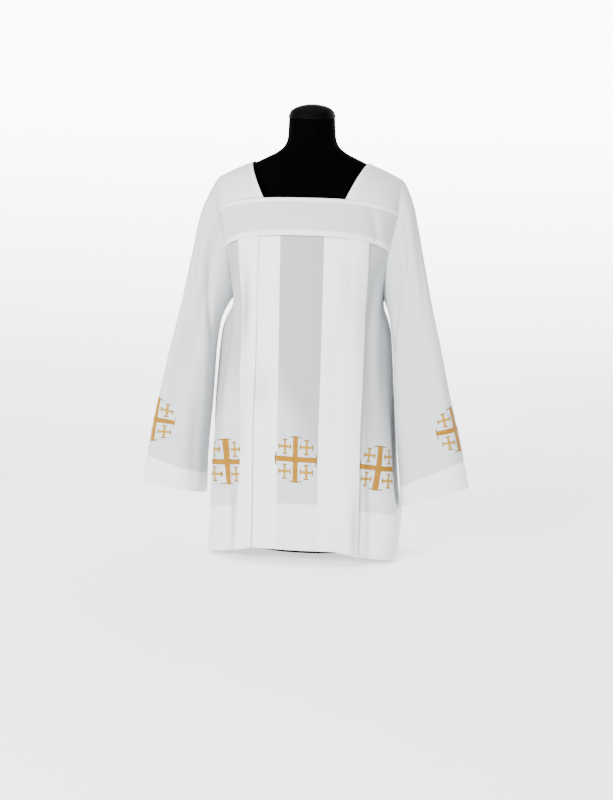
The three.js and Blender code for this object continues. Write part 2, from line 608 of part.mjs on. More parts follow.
add('form_torso', formTorso(), FORM_BLACK);
const neckTop = NECK_RINGS[NECK_RINGS.length - 1];
const cap = add('form_cap', neckCap(), CAP_BLACK);
cap.rotation.x = NECK_TILT;
cap.position.set(0, neckTop.y, neckTop.z + SEAM_GAP + FOOT_LEVEL);
add('front_panel', skirtPanel(SEAMS.front), CLOTH_WHITE);
add('back_panel', skirtPanel(SEAMS.back), CLOTH_WHITE);
add('chest_band', band(SEAMS.front), CLOTH_WHITE);
add('back_band', band(SEAMS.back), CLOTH_WHITE);
add('shoulder_left', shoulder(1), CLOTH_WHITE);
add('shoulder_right', shoulder(-1), CLOTH_WHITE);
add('sleeve_left', sleeve(1, SLEEVE_HANG.left), CLOTH_WHITE);
add('sleeve_right', sleeve(-1, SLEEVE_HANG.right), CLOTH_WHITE);

export default group;
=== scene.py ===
"""The looks of a pleated white surplice with gold embroidery, hung on a black dress form."""

import math

import bmesh
import bpy
import numpy as np
from mathutils import Matrix, Vector


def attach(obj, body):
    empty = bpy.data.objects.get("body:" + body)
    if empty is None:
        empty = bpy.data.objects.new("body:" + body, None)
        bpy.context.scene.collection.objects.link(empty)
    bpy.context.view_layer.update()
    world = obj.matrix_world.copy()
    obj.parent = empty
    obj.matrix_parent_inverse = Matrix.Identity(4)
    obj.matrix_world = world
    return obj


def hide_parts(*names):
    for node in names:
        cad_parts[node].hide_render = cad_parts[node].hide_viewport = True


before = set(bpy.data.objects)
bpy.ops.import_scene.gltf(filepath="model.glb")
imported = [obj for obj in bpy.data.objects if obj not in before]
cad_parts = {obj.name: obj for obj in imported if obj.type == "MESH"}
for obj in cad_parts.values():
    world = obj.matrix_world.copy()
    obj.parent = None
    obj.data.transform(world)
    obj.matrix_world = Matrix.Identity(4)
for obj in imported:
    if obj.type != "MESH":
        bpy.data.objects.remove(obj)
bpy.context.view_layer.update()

# Sizes below are in millimetres, as in the part's source, and become metres in the meshes.
MM = 0.001
FOOT_LEVEL = 24.0

# Points of a closed mesh nearer than this become one, in metres
MERGE_DISTANCE = 0.00001

# The camera, from the photo's level lines, pleat edges and hem. Its focus is in the photo's pixels.
CAMERA_DISTANCE = 3300.0
CAMERA_HEIGHT = 780.0
CAMERA_AZIMUTH = math.radians(7.66)
CAMERA_PITCH = math.radians(7.47)
CAMERA_ROLL = math.radians(-1.38)
CAMERA_FOCUS = 1349.0
PHOTO_HEIGHT = 800.0


def make_table(columns, *lines):
    """One record for each line of values, under these column names."""
    return [dict(zip(columns.split(), line)) for line in lines]


# Cloth
CLOTH_WALL = 0.6
HEM_WALL = 1.6
BODY_HEM_Z = 10.0
BODY_HEM_DEPTH = 111.0
HEM_FALL_START = 90.0
HEM_FALL_END = 236.0
PLEAT_UNIT = 52.0
NECK_FRONT_ARC = 97.0
NECK_SHOULDER_X = 139.0
ARMHOLE_ARC_LOW = 232.0
ARMHOLE_ARC_TOP = 243.0
UNDERARM_Z = 600.0
FRONT, BACK = make_table(
    "low lowFall lowPower top topFall hemFall face",
    (752, 36, 2.6, 838, 29, 26, -1),
    (790, 26, 3, 871, 22, 26, 1),
)
SEAM_FALL_POWER = 3.0

# The shoulder line, from the neck to the armhole
SHOULDER_NECK_Z = 924.0
SHOULDER_TIP_X = 220.0
SHOULDER_SLOPE = 0.35
SHOULDER_BEND = 0.0012
SHOULDER_Y = -6.0
SHOULDER_FORWARD = 0.22

# The body's plan at some levels: half width, depths to the front and the back, and how square it is
BODY_SECTIONS = make_table(
    "z halfWidth front back power",
    (-20, 231, 182, 153, 3.1),
    (150, 226, 175, 143, 3.1),
    (285, 215, 169, 135, 3.0),
    (430, 196, 164, 128, 2.75),
    (520, 187, 161, 124, 2.6),
    (600, 184, 158, 121, 2.5),
    (700, 202, 154, 117, 2.5),
    (757, 214, 150, 113, 2.5),
    (838, 230, 131, 104, 2.5),
    (890, 236, 112, 94, 2.5),
)

# The skirt sways to the wearer's left on the way down, and that side bulges above the hem
SKIRT_SWAY = {"out": 6, "from": 330, "to": 60}
SIDE_BULGE = {"out": 8, "z": 62, "height": 38, "from": 150, "to": 215}

# How far the side folds stand out towards the sleeves, from this share of the way round
SIDE_SWELL_FROM = 0.7
SIDE_SWELL = make_table(
    "z left right",
    (-60, 0, 0),
    (110, 0, 0),
    (200, 2, 6),
    (300, 7, 15),
    (380, 12.5, 22),
    (460, 17, 26),
    (510, 17, 25.5),
    (545, 12.5, 18),
    (592, 0, 0),
    (1000, 0, 0),
)

# How far apart the layers of a pleat lie at the band and at the hem
LAYER_TOP = 1.7
LAYER_HEM = 3.1

# The pleated sheet from the middle to the side panel. at: pleat units from the middle, past: millimetres
# more, layer: layers behind the face, turn: layers that a fold stands out sideways, steps: columns up to
# this row, backing: how much cloth lies behind what shows.
PLEAT_PATH = make_table(
    "at past layer turn steps backing",
    (0.0, 0, 2.0, 0, 1, 0.0),
    (0.985, 0, 2.0, 0, 10, 0.0),
    (1.015, 0, 2.0, 0, 1, 1.0),
    (2.0, 9, 2.0, 0, 12, 1.0),
    (2.0, 9, 1.0, 0.5, 5, 1.0),
    (2.0, 0, 1.0, 0, 3, 1.0),
    (2.0, 0, 0.0, -0.5, 5, 1.0),
    (2.5, 0, -0.4, 0, 6, 1.0),
    (3.0, 0, 0.0, 0, 7, 1.0),
    (3.0, 0, 1.15, 0.55, 6, 1.0),
    (2.55, 0, 2.2, 0, 5, 0.7),
    (2.0, 4, 3.0, 0, 4, 0.7),
    (1.0, 0, 3.0, 0, 6, 0.7),
    (1.0, 0, 4.0, -0.5, 4, 0.7),
    (2.0, 4, 4.0, 0, 6, 0.3),
    (2.9, 0, 2.6, 0, 8, 0.3),
    (3.15, 0, 2.4, 0, 4, 0.25),
)
MIDDLE_LAYER = PLEAT_PATH[0]["layer"]
SIDE_START = PLEAT_PATH[-1]["at"] * PLEAT_UNIT
SIDE_LAYER = PLEAT_PATH[-1]["layer"]
SIDE_STEPS = 36
SIDE_SETTLE = 0.5
SIDE_BACKING = 0.2
SIDE_FOLDS = [
    {"at": 0.12, "width": 0.09, "hem": -6},
    {"at": 0.42, "width": 0.14, "hem": 7},
    {"at": 0.74, "width": 0.1, "hem": -6},
]
FOLD_FADE_IN = 0.08
FOLD_FADE_OUT = 0.12

# The cloth's gentle swell at the band and at the hem, and where it starts on each face and sleeve
BODY_SWELL = {"top": 0.35, "hem": 1.7}
SWELL_PHASE = {-1: 0.7, 1: 2.9, "left": 4.1, "right": 5.3}

# How far a crease runs on past its ends and how softly it starts, as shares of its length
CREASE_END = {"past": 0.18, "rounding": 0.45}

# How far the pleat edges wander outwards on the way down, on the wearer's left and right
PLEAT_DRIFT = make_table(
    "z leftA leftB leftC rightA rightB rightC",
    (-20, -3, -4, -10, -4, 7, -2),
    (130, -2, -5, -9, -4, 6, -13),
    (290, 0, -5, -5, -5, 4, -20),
    (460, 1, -3, 1, -4, 2, -7),
    (620, 1, -1, 7, -2, 3, 5),
    (760, 0, 0, 3, -1, 0, 9),
)
DRIFT_END = 235.0

# Rings of a sleeve, by their share of its length: the outer and the inner edge, the middle's y, the depths to
# the front and the back, and how much higher the front hangs
SLEEVE_RINGS = make_table(
    "along outX outZ inX inZ y front back lift",
    (0, 220, 882, 185, 600, -20, 50, 50, 0),
    (0.03, 237, 867, 193, 586, -21, 52, 52, 0),
    (0.08, 254, 824, 203, 560, -24, 56, 56, 0),
    (0.15, 267, 775, 211, 526, -26, 61, 60, 0),
    (0.25, 283, 700, 217, 480, -28, 67, 65, 0),
    (0.4, 307, 590, 222, 408, -30, 74, 73, 2),
    (0.55, 334, 480, 227, 333, -31, 80, 80, 5),
    (0.7, 358, 370, 233, 259, -32, 86, 86, 8),
    (0.85, 384, 258, 239, 187, -33, 91, 91, 11),
    (1, 406, 147, 243, 106, -34, 95, 95, 14),
)
SLEEVE_POWER = 2.25
SLEEVE_HEM_START = 0.911
SLEEVE_HANG = {
    "left": {"out": -5, "edgeOut": 1, "outerUp": 9, "innerUp": -6},
    "right": {"out": 5, "edgeOut": -17, "outerUp": -9, "innerUp": 6},
}

# Each sleeve hangs a little differently, and its outer edge is pressed flat and comes forward
SLEEVE_HANG_BLEND = 0.15
SLEEVE_HANG_FADE = 0.65
SLEEVE_EDGE_FORWARD = 60.0
SLEEVE_EDGE_UP = 10.0
SLEEVE_EDGE_POWER = 1.1
SLEEVE_EDGE_FULL = 0.55
SLEEVE_FOLDS = make_table(
    "from to placeFrom placeTo width deep",
    (0, 0.3, 0.2, 0.44, 0.035, 13),
    (0.05, 1.1, 0.17, 0.26, 0.045, 8),
    (0.05, 1.1, 0.84, 0.73, 0.05, 8),
    (0, 0.4, 0.72, 0.6, 0.04, 9),
)

# How the sleeve turns from the armhole's line into its rings
ARMHOLE_BLEND = 0.1
ARMHOLE_BLEND_POWER = 0.6
ARMHOLE_SEAM = 0.3
SLEEVE_FOLD_POWER = 0.7
SLEEVE_SWELL = {"top": 0.5, "cuff": 1.8, "wave": 90}

# Creases of the body's cloth: from and to as (arc, height), half width and depth; a minus is a trough
BODY_CREASES = make_table(
    "face from to width push",
    (-1, (158, 822), (190, 726), 7, -3.2),
    (-1, (176, 818), (204, 734), 9, 2.0),
    (-1, (-184, 826), (-183, 735), 8, -2.6),
    (-1, (-168, 735), (-176, 640), 9, -2.2),
    (-1, (-192, 720), (-200, 610), 9, 2.2),
    (-1, (-205, 700), (-178, 540), 12, -4.0),
    (-1, (-98, 395), (-44, 335), 15, -2.6),
    (-1, (206, 690), (176, 540), 11, -4.4),
    (-1, (226, 660), (196, 420), 12, 4.2),
    (-1, (246, 600), (216, 300), 13, -5.0),
    (-1, (-240, 600), (-214, 330), 13, -5.0),
    (-1, (30, 560), (-22, 380), 24, -2.2),
    (-1, (-186, 330), (-174, -10), 8, -5.5),
    (-1, (-206, 440), (-200, 60), 11, 4.0),
    (-1, (-150, 670), (-146, 460), 12, -5.0),
    (-1, (-128, 560), (-122, 260), 12, 2.0),
    (-1, (178, 190), (180, -10), 9, -4.5),
    (-1, (190, 470), (200, 240), 11, -3.4),
    (-1, (132, 700), (136, 420), 10, 2.0),
    (-1, (96, 520), (90, 300), 12, -1.8),
    (1, (-196, 838), (-170, 770), 9, -2.6),
    (1, (190, 840), (182, 775), 9, -2.4),
    (1, (214, 760), (180, 590), 12, -4.2),
    (1, (-210, 770), (-184, 550), 13, -4.4),
    (1, (-232, 620), (-204, 380), 13, 4.2),
    (1, (238, 640), (210, 340), 13, -4.8),
    (1, (-24, 600), (16, 400), 24, -2.2),
    (1, (186, 300), (178, -10), 9, -5.0),
    (1, (-184, 420), (-176, 20), 9, -4.6),
    (1, (-204, 360), (-200, 90), 11, 3.8),
    (1, (140, 640), (132, 360), 11, 2.2),
    (1, (-136, 560), (-128, 240), 11, -2.0),
)

# Creases of the sleeves: from and to as (around, along). Around 0 is the outer side, 0.25 the front and
# 0.5 the inner side.
SLEEVE_CREASES = make_table(
    "side from to width push",
    ("left", (0.13, 0.02), (0.22, 0.2), 9, -5.1),
    ("left", (0.06, 0.06), (0.12, 0.42), 12, -4.1),
    ("left", (0.39, 0.2), (0.42, 0.66), 13, 5.1),
    ("left", (0.3, 0.46), (0.18, 0.58), 11, -3.7),
    ("left", (0.1, 0.6), (0.14, 0.92), 18, 4.1),
    ("left", (0.9, 0.05), (0.86, 0.4), 13, -5.1),
    ("left", (0.65, 0.25), (0.7, 0.7), 14, 5.1),
    ("right", (0.14, 0.02), (0.2, 0.24), 9, -5.1),
    ("right", (0.07, 0.08), (0.1, 0.36), 12, -3.4),
    ("right", (0.37, 0.18), (0.4, 0.6), 13, 4.8),
    ("right", (0.33, 0.38), (0.2, 0.5), 12, -4.1),
    ("right", (0.12, 0.56), (0.1, 0.9), 18, 4.4),
    ("right", (0.91, 0.04), (0.84, 0.36), 13, -5.1),
    ("right", (0.66, 0.3), (0.72, 0.75), 14, 4.8),
    ("left", (0.3, 0.14), (0.33, 0.84), 16, -8.0),
    ("right", (0.28, 0.1), (0.28, 0.54), 15, -7.0),
    ("right", (0.36, 0.6), (0.38, 0.95), 14, -5.0),
)
SLEEVE_LENGTH = 700.0
SLEEVE_ROUND = 560.0

# The dress form. tip moves a ring's two ends along y, tilt is its share of the neck's tilt.
FORM_POWER = 2.2
FORM_CLEARANCE = 2.5
FORM_RINGS = make_table(
    "z halfWidth front back y tip tilt",
    (-24, 115, 60, 70, 0, 0, 0),
    (-18, 119, 64, 74, 0, 0, 0),
    (40, 144, 98, 92, 0, 0, 0),
    (120, 158, 116, 101, 0, 0, 0),
    (250, 162, 120, 104, 0, 0, 0),
    (430, 142, 104, 88, 0, 0, 0),
    (600, 158, 120, 96, 0, 0, 0),
    (700, 174, 130, 98, 0, 0, 0),
    (760, 186, 124, 96, 0, -6, 0),
    (810, 200, 110, 90, 0, -14, 0),
    (845, 208, 98, 84, 0, -18, 0),
    (868, 207, 87, 77, 0, -20, 0),
)
FORM_SHOULDER_RINGS = make_table(
    "x front back",
    (202, 75, 68),
    (190, 73, 66),
    (174, 70, 64),
    (156, 68, 63),
    (139, 65, 61),
)
NECK_RINGS = make_table(
    "z halfWidth front back y tip tilt",
    (934, 112, 62, 59, -5, -2, 0),
    (948, 84, 59, 57, -8, 0, 0),
    (963, 66, 57, 56, -11, 0, 0.2),
    (982, 58, 56, 55, -14, 0, 0.5),
    (1006, 56, 55, 55, -17, 0, 0.8),
    (1030, 55, 55, 55, -20, 0, 1),
)
NECK_TILT = math.radians(9)
CAP = {"radius": 56.5, "rim": 6, "edge": 1.5, "dome": 25}


def mix(a, b, t):
    return a + (b - a) * t


def ease(t):
    t = np.clip(t, 0.0, 1.0)
    return t * t * (3 - 2 * t)


def bell(distance, width):
    return np.exp(-0.5 * (distance / width) ** 2)


def read_table(table, key, values):
    """Every column of a table at these values of its key, on a smooth curve through the rows."""
    values = np.asarray(values, float)
    keys = np.array([row[key] for row in table], float)
    last = len(table) - 1
    row = np.clip(np.searchsorted(keys, values, side="left") - 1, 0, last - 1)
    before = np.maximum(row - 1, 0)
    after = np.minimum(row + 2, last)
    span = keys[row + 1] - keys[row]
    t = (values - keys[row]) / span
    result = {}
    for column in table[0]:
        data = np.array([line[column] for line in table], float)
        leave = (data[row + 1] - data[before]) / (keys[row + 1] - keys[before]) * span
        arrive = (data[after] - data[row]) / (keys[after] - keys[row]) * span
        result[column] = ((2 * t ** 3 - 3 * t ** 2 + 1) * data[row] + (t ** 3 - 2 * t ** 2 + t) * leave
                          + (3 * t ** 2 - 2 * t ** 3) * data[row + 1] + (t ** 3 - t ** 2) * arrive)
    return result


def running_length(points):
    """How far along a line of points each of them lies."""
    return np.concatenate([[0], np.cumsum(np.linalg.norm(np.diff(points, axis=0), axis=-1))])


def rounded(value, power):
    """A sine or cosine bent towards a box by a power below 1, or towards a diamond by one above 1."""
    return np.sign(value) * np.abs(value) ** power


def waves(u, v, phase):
    """A gentle uneven swell between about -1 and 1, for coordinates in millimetres."""
    first = np.sin(u / 31 + 0.9 * np.sin(v / 170 + phase) + phase)
    second = np.sin(u / 17 - v / 240 + 2.1 * phase)
    third = np.sin(v / 74 + 0.6 * np.sin(u / 45 + phase) + 1.7 * phase)
    return 0.5 * first + 0.25 * second + 0.25 * third


# The body's plan at many levels, as lines of equal steps along the cloth
PLAN_LEVEL_STEP = 4.0
PLAN_LEVELS = np.arange(-40.0, 920.0, PLAN_LEVEL_STEP)
PLAN_STEPS = 240


def make_plan(face):
    """The body's outline at every level: places, outward directions and its length, on one face."""
    section = read_table(BODY_SECTIONS, "z", PLAN_LEVELS)
    depth = section["front"] if face < 0 else section["back"]
    angle = np.linspace(0, math.pi / 2, PLAN_STEPS + 1)[None, :]
    wide = section["halfWidth"][:, None]
    deep = depth[:, None]
    power = section["power"][:, None]
    x = wide * np.sin(angle) ** (2 / power)
    y = face * deep * np.abs(np.cos(angle)) ** (2 / power)
    normal_x = (x / wide) ** (power - 1) / wide
    normal_y = face * (np.abs(y) / deep) ** (power - 1) / deep
    scale = np.hypot(normal_x, normal_y)
    lengths = np.zeros_like(x)
    lengths[:, 1:] = np.cumsum(np.hypot(np.diff(x, axis=1), np.diff(y, axis=1)), axis=1)
    plan = {"length": lengths[:, -1], "x": [], "y": [], "nx": [], "ny": []}
    shares = np.linspace(0, 1, PLAN_STEPS + 1)
    for level in range(len(PLAN_LEVELS)):
        wanted = shares * lengths[level, -1]
        plan["x"].append(np.interp(wanted, lengths[level], x[level]))
        plan["y"].append(np.interp(wanted, lengths[level], y[level]))
        plan["nx"].append(np.interp(wanted, lengths[level], normal_x[level] / scale[level]))
        plan["ny"].append(np.interp(wanted, lengths[level], normal_y[level] / scale[level]))
    return {name: np.array(value) for name, value in plan.items()}


PLANS = {-1: make_plan(-1), 1: make_plan(1)}


def plan_length(z, face):
    return np.interp(z, PLAN_LEVELS, PLANS[face]["length"])


BAND_LENGTH = {face: float(plan_length(FRONT["low"], face)) for face in (-1, 1)}


def fold_push(arc, z, face):
    """How far the soft side folds and the creases push the cloth out."""
    share = (np.abs(arc) - SIDE_START) / (BAND_LENGTH[face] - SIDE_START)
    down = ease((FRONT["low"] - z) / (FRONT["low"] - BODY_HEM_Z))
    fade = ease(share / FOLD_FADE_IN) * ease((1 - share) / FOLD_FADE_OUT) * (z <= FRONT["low"])
    folds = sum(bell(share - fold["at"], fold["width"]) * fold["hem"] for fold in SIDE_FOLDS)
    push = folds * down * fade
    for crease in BODY_CREASES:
        if crease["face"] == face:
            push = push + crease_push(crease, arc, z, 1.0, 1.0)
    return push + waves(arc, z, SWELL_PHASE[face]) * mix(BODY_SWELL["top"], BODY_SWELL["hem"], down)


def crease_push(crease, across, along, across_size, along_size):
    """How far one crease pushes the cloth out at a place. The sizes turn its coordinates into millimetres."""
    (u0, v0), (u1, v1) = crease["from"], crease["to"]
    du, dv = (u1 - u0) * across_size, (v1 - v0) * along_size
    pu, pv = (across - u0) * across_size, (along - v0) * along_size
    length = math.hypot(du, dv)
    t = (pu * du + pv * dv) / length ** 2
    aside = (pu * dv - pv * du) / length
    past, rounding = CREASE_END["past"], CREASE_END["rounding"]
    ends = ease((t + past) / rounding) * ease((1 + past - t) / rounding)
    return crease["push"] * ends * bell(aside, crease["width"])


def body_point(face, arc, z, inward=0.0):
    """A point of the body's cloth. arc is measured from the middle along the cloth, at the bands' level."""
    arc, z, inward = np.broadcast_arrays(*[np.asarray(value, float) for value in (arc, z, inward)])
    plan = PLANS[face]
    length = plan_length(z, face)
    side = np.where(arc < 0, -1.0, 1.0)
    distance = np.abs(arc)
    side_at_band = BAND_LENGTH[face] - SIDE_START
    stretched = SIDE_START + (distance - SIDE_START) * (length - SIDE_START) / side_at_band
    distance = np.clip(np.where(distance > SIDE_START, stretched, distance), 0, length)
    level = np.clip((z - PLAN_LEVELS[0]) / PLAN_LEVEL_STEP, 0, len(PLAN_LEVELS) - 1.001)
    row = level.astype(int)
    up = level - row
    place = np.clip(distance / length * PLAN_STEPS, 0, PLAN_STEPS - 0.001)
    column = place.astype(int)
    over = place - column

    def read(name):
        data = plan[name]
        low = mix(data[row, column], data[row, column + 1], over)
        high = mix(data[row + 1, column], data[row + 1, column + 1], over)
        return mix(low, high, up)

    push = fold_push(arc, z, face) - inward
    beside = ease((distance / length - SIDE_SWELL_FROM) / (1 - SIDE_SWELL_FROM))
    out = read_table(SIDE_SWELL, "z", z)
    swell = np.where(side > 0, out["left"], out["right"]) * beside
    x = side * (read("x") + read("nx") * push + swell) + skirt_sway(arc, z)
    y = read("y") + read("ny") * push
    return np.stack([x, y, z], axis=-1)


def skirt_sway(arc, z):
    """How far to the wearer's left the skirt lies at a place."""
    sway, bulge = SKIRT_SWAY, SIDE_BULGE
    everywhere = sway["out"] * ease((sway["from"] - z) / (sway["from"] - sway["to"]))
    beside = ease((arc - bulge["from"]) / (bulge["to"] - bulge["from"]))
    return everywhere + bulge["out"] * bell(z - bulge["z"], bulge["height"]) * beside


def low_seam_z(seam, arc):
    """The level of the seam under a band, and of the armhole beyond the band's end."""
    distance = np.abs(arc)
    way = np.minimum(distance, ARMHOLE_ARC_LOW) / ARMHOLE_ARC_LOW
    straight = seam["low"] - seam["lowFall"] * way ** seam["lowPower"]
    band_end = seam["low"] - seam["lowFall"]
    share = np.clip((distance - ARMHOLE_ARC_LOW) / (BAND_LENGTH[seam["face"]] - ARMHOLE_ARC_LOW), 0, 1)
    bend = 1 - np.sqrt(np.clip(1 - (1 - share) ** 2, 0, None))
    return np.where(distance <= ARMHOLE_ARC_LOW, straight, UNDERARM_Z + (band_end - UNDERARM_Z) * bend)


def top_seam_z(seam, arc):
    """The level of the neckline along a band."""
    return seam["top"] - seam["topFall"] * (np.abs(arc) / ARMHOLE_ARC_TOP) ** SEAM_FALL_POWER


def hem_z(seam, arc):
    """The level of the hem's edge."""
    fall = ease((np.abs(arc) - HEM_FALL_START) / (HEM_FALL_END - HEM_FALL_START))
    return BODY_HEM_Z - seam["hemFall"] * fall


def pleat_drift(arc, z):
    """How far outwards the pleats wander at a place."""
    drift = read_table(PLEAT_DRIFT, "z", z)
    distance = np.abs(arc)
    places = [0, PLEAT_UNIT, 2 * PLEAT_UNIT, 3 * PLEAT_UNIT, DRIFT_END]
    still = np.zeros_like(distance)
    total = still
    for side, sign in (("left", 1), ("right", -1)):
        values = [still, drift[side + "A"], drift[side + "B"], drift[side + "C"], still]
        amount = still
        for k in range(len(places) - 1):
            t = np.clip((distance - places[k]) / (places[k + 1] - places[k]), 0, 1)
            inside = (distance >= places[k]) & (distance <= places[k + 1])
            amount = np.where(inside, mix(values[k], values[k + 1], t), amount)
        total = np.where(arc * sign > 0, amount, total)
    return total


def side_sheet_layer(arc, face):
    """Layers behind the face at which the side panel lies, under the pleat and beside it."""
    distance = np.abs(arc)
    behind = PLEAT_PATH[-3:]
    places = [row["at"] * PLEAT_UNIT + row["past"] for row in behind]
    layer = np.interp(distance, places, [row["layer"] for row in behind])
    share = (distance - SIDE_START) / (BAND_LENGTH[face] - SIDE_START)
    return layer * np.where(share <= 0, 1.0, 1 - ease(share / SIDE_SETTLE))


def layer_depth(seam, arc, z):
    """How far one layer of the pleats lies behind the next."""
    hem_top = hem_z(seam, arc) + BODY_HEM_DEPTH
    return mix(LAYER_HEM, LAYER_TOP, ease((z - hem_top) / (seam["low"] - hem_top)))


def pleat_columns(face):
    """The columns of half a panel as arrays: arc, sideways turn in layers, layer, backing."""
    rows = []
    for before, row in zip(PLEAT_PATH, PLEAT_PATH[1:]):
        start = before["at"] * PLEAT_UNIT + before["past"]
        end = row["at"] * PLEAT_UNIT + row["past"]
        for step in range(1, row["steps"] + 1):
            t = step / row["steps"]
            if row["turn"]:
                out = row["turn"] * math.sin(math.pi * t)
                depth = mix(before["layer"], row["layer"], 0.5 - 0.5 * math.cos(math.pi * t))
            else:
                out = 0.0
                depth = mix(before["layer"], row["layer"], t)
            rows.append((mix(start, end, t), out, depth, mix(before["backing"], row["backing"], t)))
    for step in range(1, SIDE_STEPS + 1):
        arc = mix(SIDE_START, BAND_LENGTH[face], step / SIDE_STEPS)
        rows.append((arc, 0.0, SIDE_LAYER, SIDE_BACKING))
    return np.array([(0.0, 0.0, MIDDLE_LAYER, 0.0)] + rows)


def make_object(name, bm, material):
    """Turns a finished bmesh into an object of the scene."""
    mesh = bpy.data.meshes.new(name)
    bm.to_mesh(mesh)
    bm.free()
    mesh.materials.append(material)
    piece = bpy.data.objects.new(name, mesh)
    bpy.context.scene.collection.objects.link(piece)
    return piece


def grid_place(vert, columns, rows):
    """The column and row of a vertex in a grid that runs from -1 to 1."""
    return round((vert.co.x + 1) / 2 * (columns - 1)), round((vert.co.y + 1) / 2 * (rows - 1))


def to_scene(point):
    """A point in millimetres from the hem's level as a place in the scene."""
    return Vector(point) * MM + Vector((0, 0, FOOT_LEVEL * MM))


def cloth_sheet(name, points, lengths, backing, hem, material, closed=False):
    """A sheet of cloth through a grid of points in millimetres, columns by rows.

    lengths holds each point's place on the flat cloth, backing how much cloth lies behind it, lowered
    where painted shade lies, and hem where it is double.
    """
    columns, rows = points.shape[:2]
    bm = bmesh.new()
    bmesh.ops.create_grid(bm, x_segments=columns - 1, y_segments=rows - 1, size=1.0)
    uv_layer = bm.loops.layers.uv.new("flat")
    # The backing value also carries painted shade, from the panels' spots and the band's groove
    backing_layer = bm.verts.layers.float.new("backing")
    deform = bm.verts.layers.deform.new()
    for vert in bm.verts:
        i, j = grid_place(vert, columns, rows)
        vert.index = i * rows + j
        vert[backing_layer] = float(backing[i, j])
        vert[deform][0] = float(hem[i, j])
    for face in bm.faces:
        for loop in face.loops:
            i, j = divmod(loop.vert.index, rows)
            loop[uv_layer].uv = (lengths[i, j, 0] * MM, lengths[i, j, 1] * MM)
        face.smooth = True
    for vert in bm.verts:
        i, j = divmod(vert.index, rows)
        vert.co = to_scene(points[i, j])
    if closed:
        bmesh.ops.remove_doubles(bm, verts=bm.verts, dist=MERGE_DISTANCE)
    piece = make_object(name, bm, material)
    piece.vertex_groups.new(name="hem")
    wall = piece.modifiers.new("wall", "SOLIDIFY")
    wall.thickness = HEM_WALL * MM
    wall.offset = 0.0
    wall.vertex_group = "hem"
    wall.thickness_vertex_group = CLOTH_WALL / HEM_WALL
    wall.use_even_offset = False
    return piece


def flat_lengths(points):
    """Each point's place on the flat cloth, measured along the grid."""
    across = np.zeros(points.shape[:2])
    along = np.zeros(points.shape[:2])
    middle = points.shape[1] // 2
    steps = np.linalg.norm(np.diff(points[:, middle], axis=0), axis=-1)
    across[1:, :] = np.cumsum(steps)[:, None]
    along[:, 1:] = np.cumsum(np.linalg.norm(np.diff(points, axis=1), axis=-1), axis=1)
    return np.stack([across, along], axis=-1)


HEM_ROWS = 20
PANEL_ROWS = 104
PANEL_TOP_OVERLAP = 1.0
HEM_STEP = 1.0

# The dent that a row of stitches makes in the cloth
STITCH_DENT = 0.5
STITCH_DENT_WIDTH = 1.6

# One layer of cloth looks darker over the black form, and lighter where it hangs free of it lower down
FORM_SHADE_TOP = 400.0
FORM_SHADE_END = 230.0
FORM_SHADE_LIFT = 0.4
FORM_SHADE_SLANT = 2.0
FORM_SHADE_REACH = 40.0

# How much whiter the double hem is
HEM_LIFT = 0.8

# Painted shade: patches where the cloth's colour is darkened to stand in for the shade in its folds and
# troughs and in the recesses beside the sleeves: place and half size
PAINTED_SHADE_SPOTS = make_table(
    "face x z wide high darker",
    (-1, -133, 580, 8, 62, 0.80),
    (-1, -172, 690, 12, 40, 0.90),
    (-1, -84, 392, 18, 30, 0.42),
    (-1, 178, 655, 12, 60, 0.76),
    (-1, -150, 90, 6, 90, 0.65),
    (-1, -128, 330, 7, 90, 0.34),
    (-1, 142, 60, 6, 70, 0.65),
    (-1, -196, 300, 9, 120, 0.66),
    (-1, 108, 640, 9, 50, 0.27),
    (1, 136, 600, 9, 70, 0.76),
    (1, -140, 520, 8, 60, 0.65),
    (1, 150, 80, 6, 90, 0.65),
    (1, -88, 300, 18, 34, 0.38),
)


def panel_points(seam):
    """The grid of a pleated panel, with its backing and where its hem is."""
    face = seam["face"]
    half = pleat_columns(face)
    sides = np.concatenate([-np.ones(len(half) - 1), np.ones(len(half))])
    columns = np.concatenate([half[:0:-1], half])
    if face > 0:
        columns, sides = columns[::-1], sides[::-1]
    arc, turn, layer, backing = columns.T
    hem = hem_z(seam, arc)[:, None]
    hem_top = hem + BODY_HEM_DEPTH
    top = low_seam_z(seam, arc)[:, None] + PANEL_TOP_OVERLAP
    low_share = np.linspace(0, 1, HEM_ROWS + 1)[None, :]
    high_share = np.linspace(0, 1, PANEL_ROWS + 1)[None, :]
    low_rows = mix(hem, hem_top - HEM_STEP, low_share)
    high_rows = mix(hem_top + HEM_STEP, top, high_share)
    z = np.concatenate([low_rows, high_rows], axis=1)
    depth = layer_depth(seam, arc[:, None], z)
    share = (arc - SIDE_START) / (BAND_LENGTH[face] - SIDE_START)
    settle = np.where(share <= 0, 1.0, 1 - ease(share / SIDE_SETTLE))[:, None]
    inward = layer[:, None] * depth * settle
    place = sides[:, None] * (arc[:, None] + turn[:, None] * depth)
    drift = pleat_drift(sides[:, None] * arc[:, None], z)
    stitched = bell(z - hem_top, STITCH_DENT_WIDTH) * STITCH_DENT
    points = body_point(face, place + sides[:, None] * drift, z, inward + stitched)
    in_hem = (z < hem_top).astype(float)
    return points, backing[:, None] * np.ones_like(z), in_hem


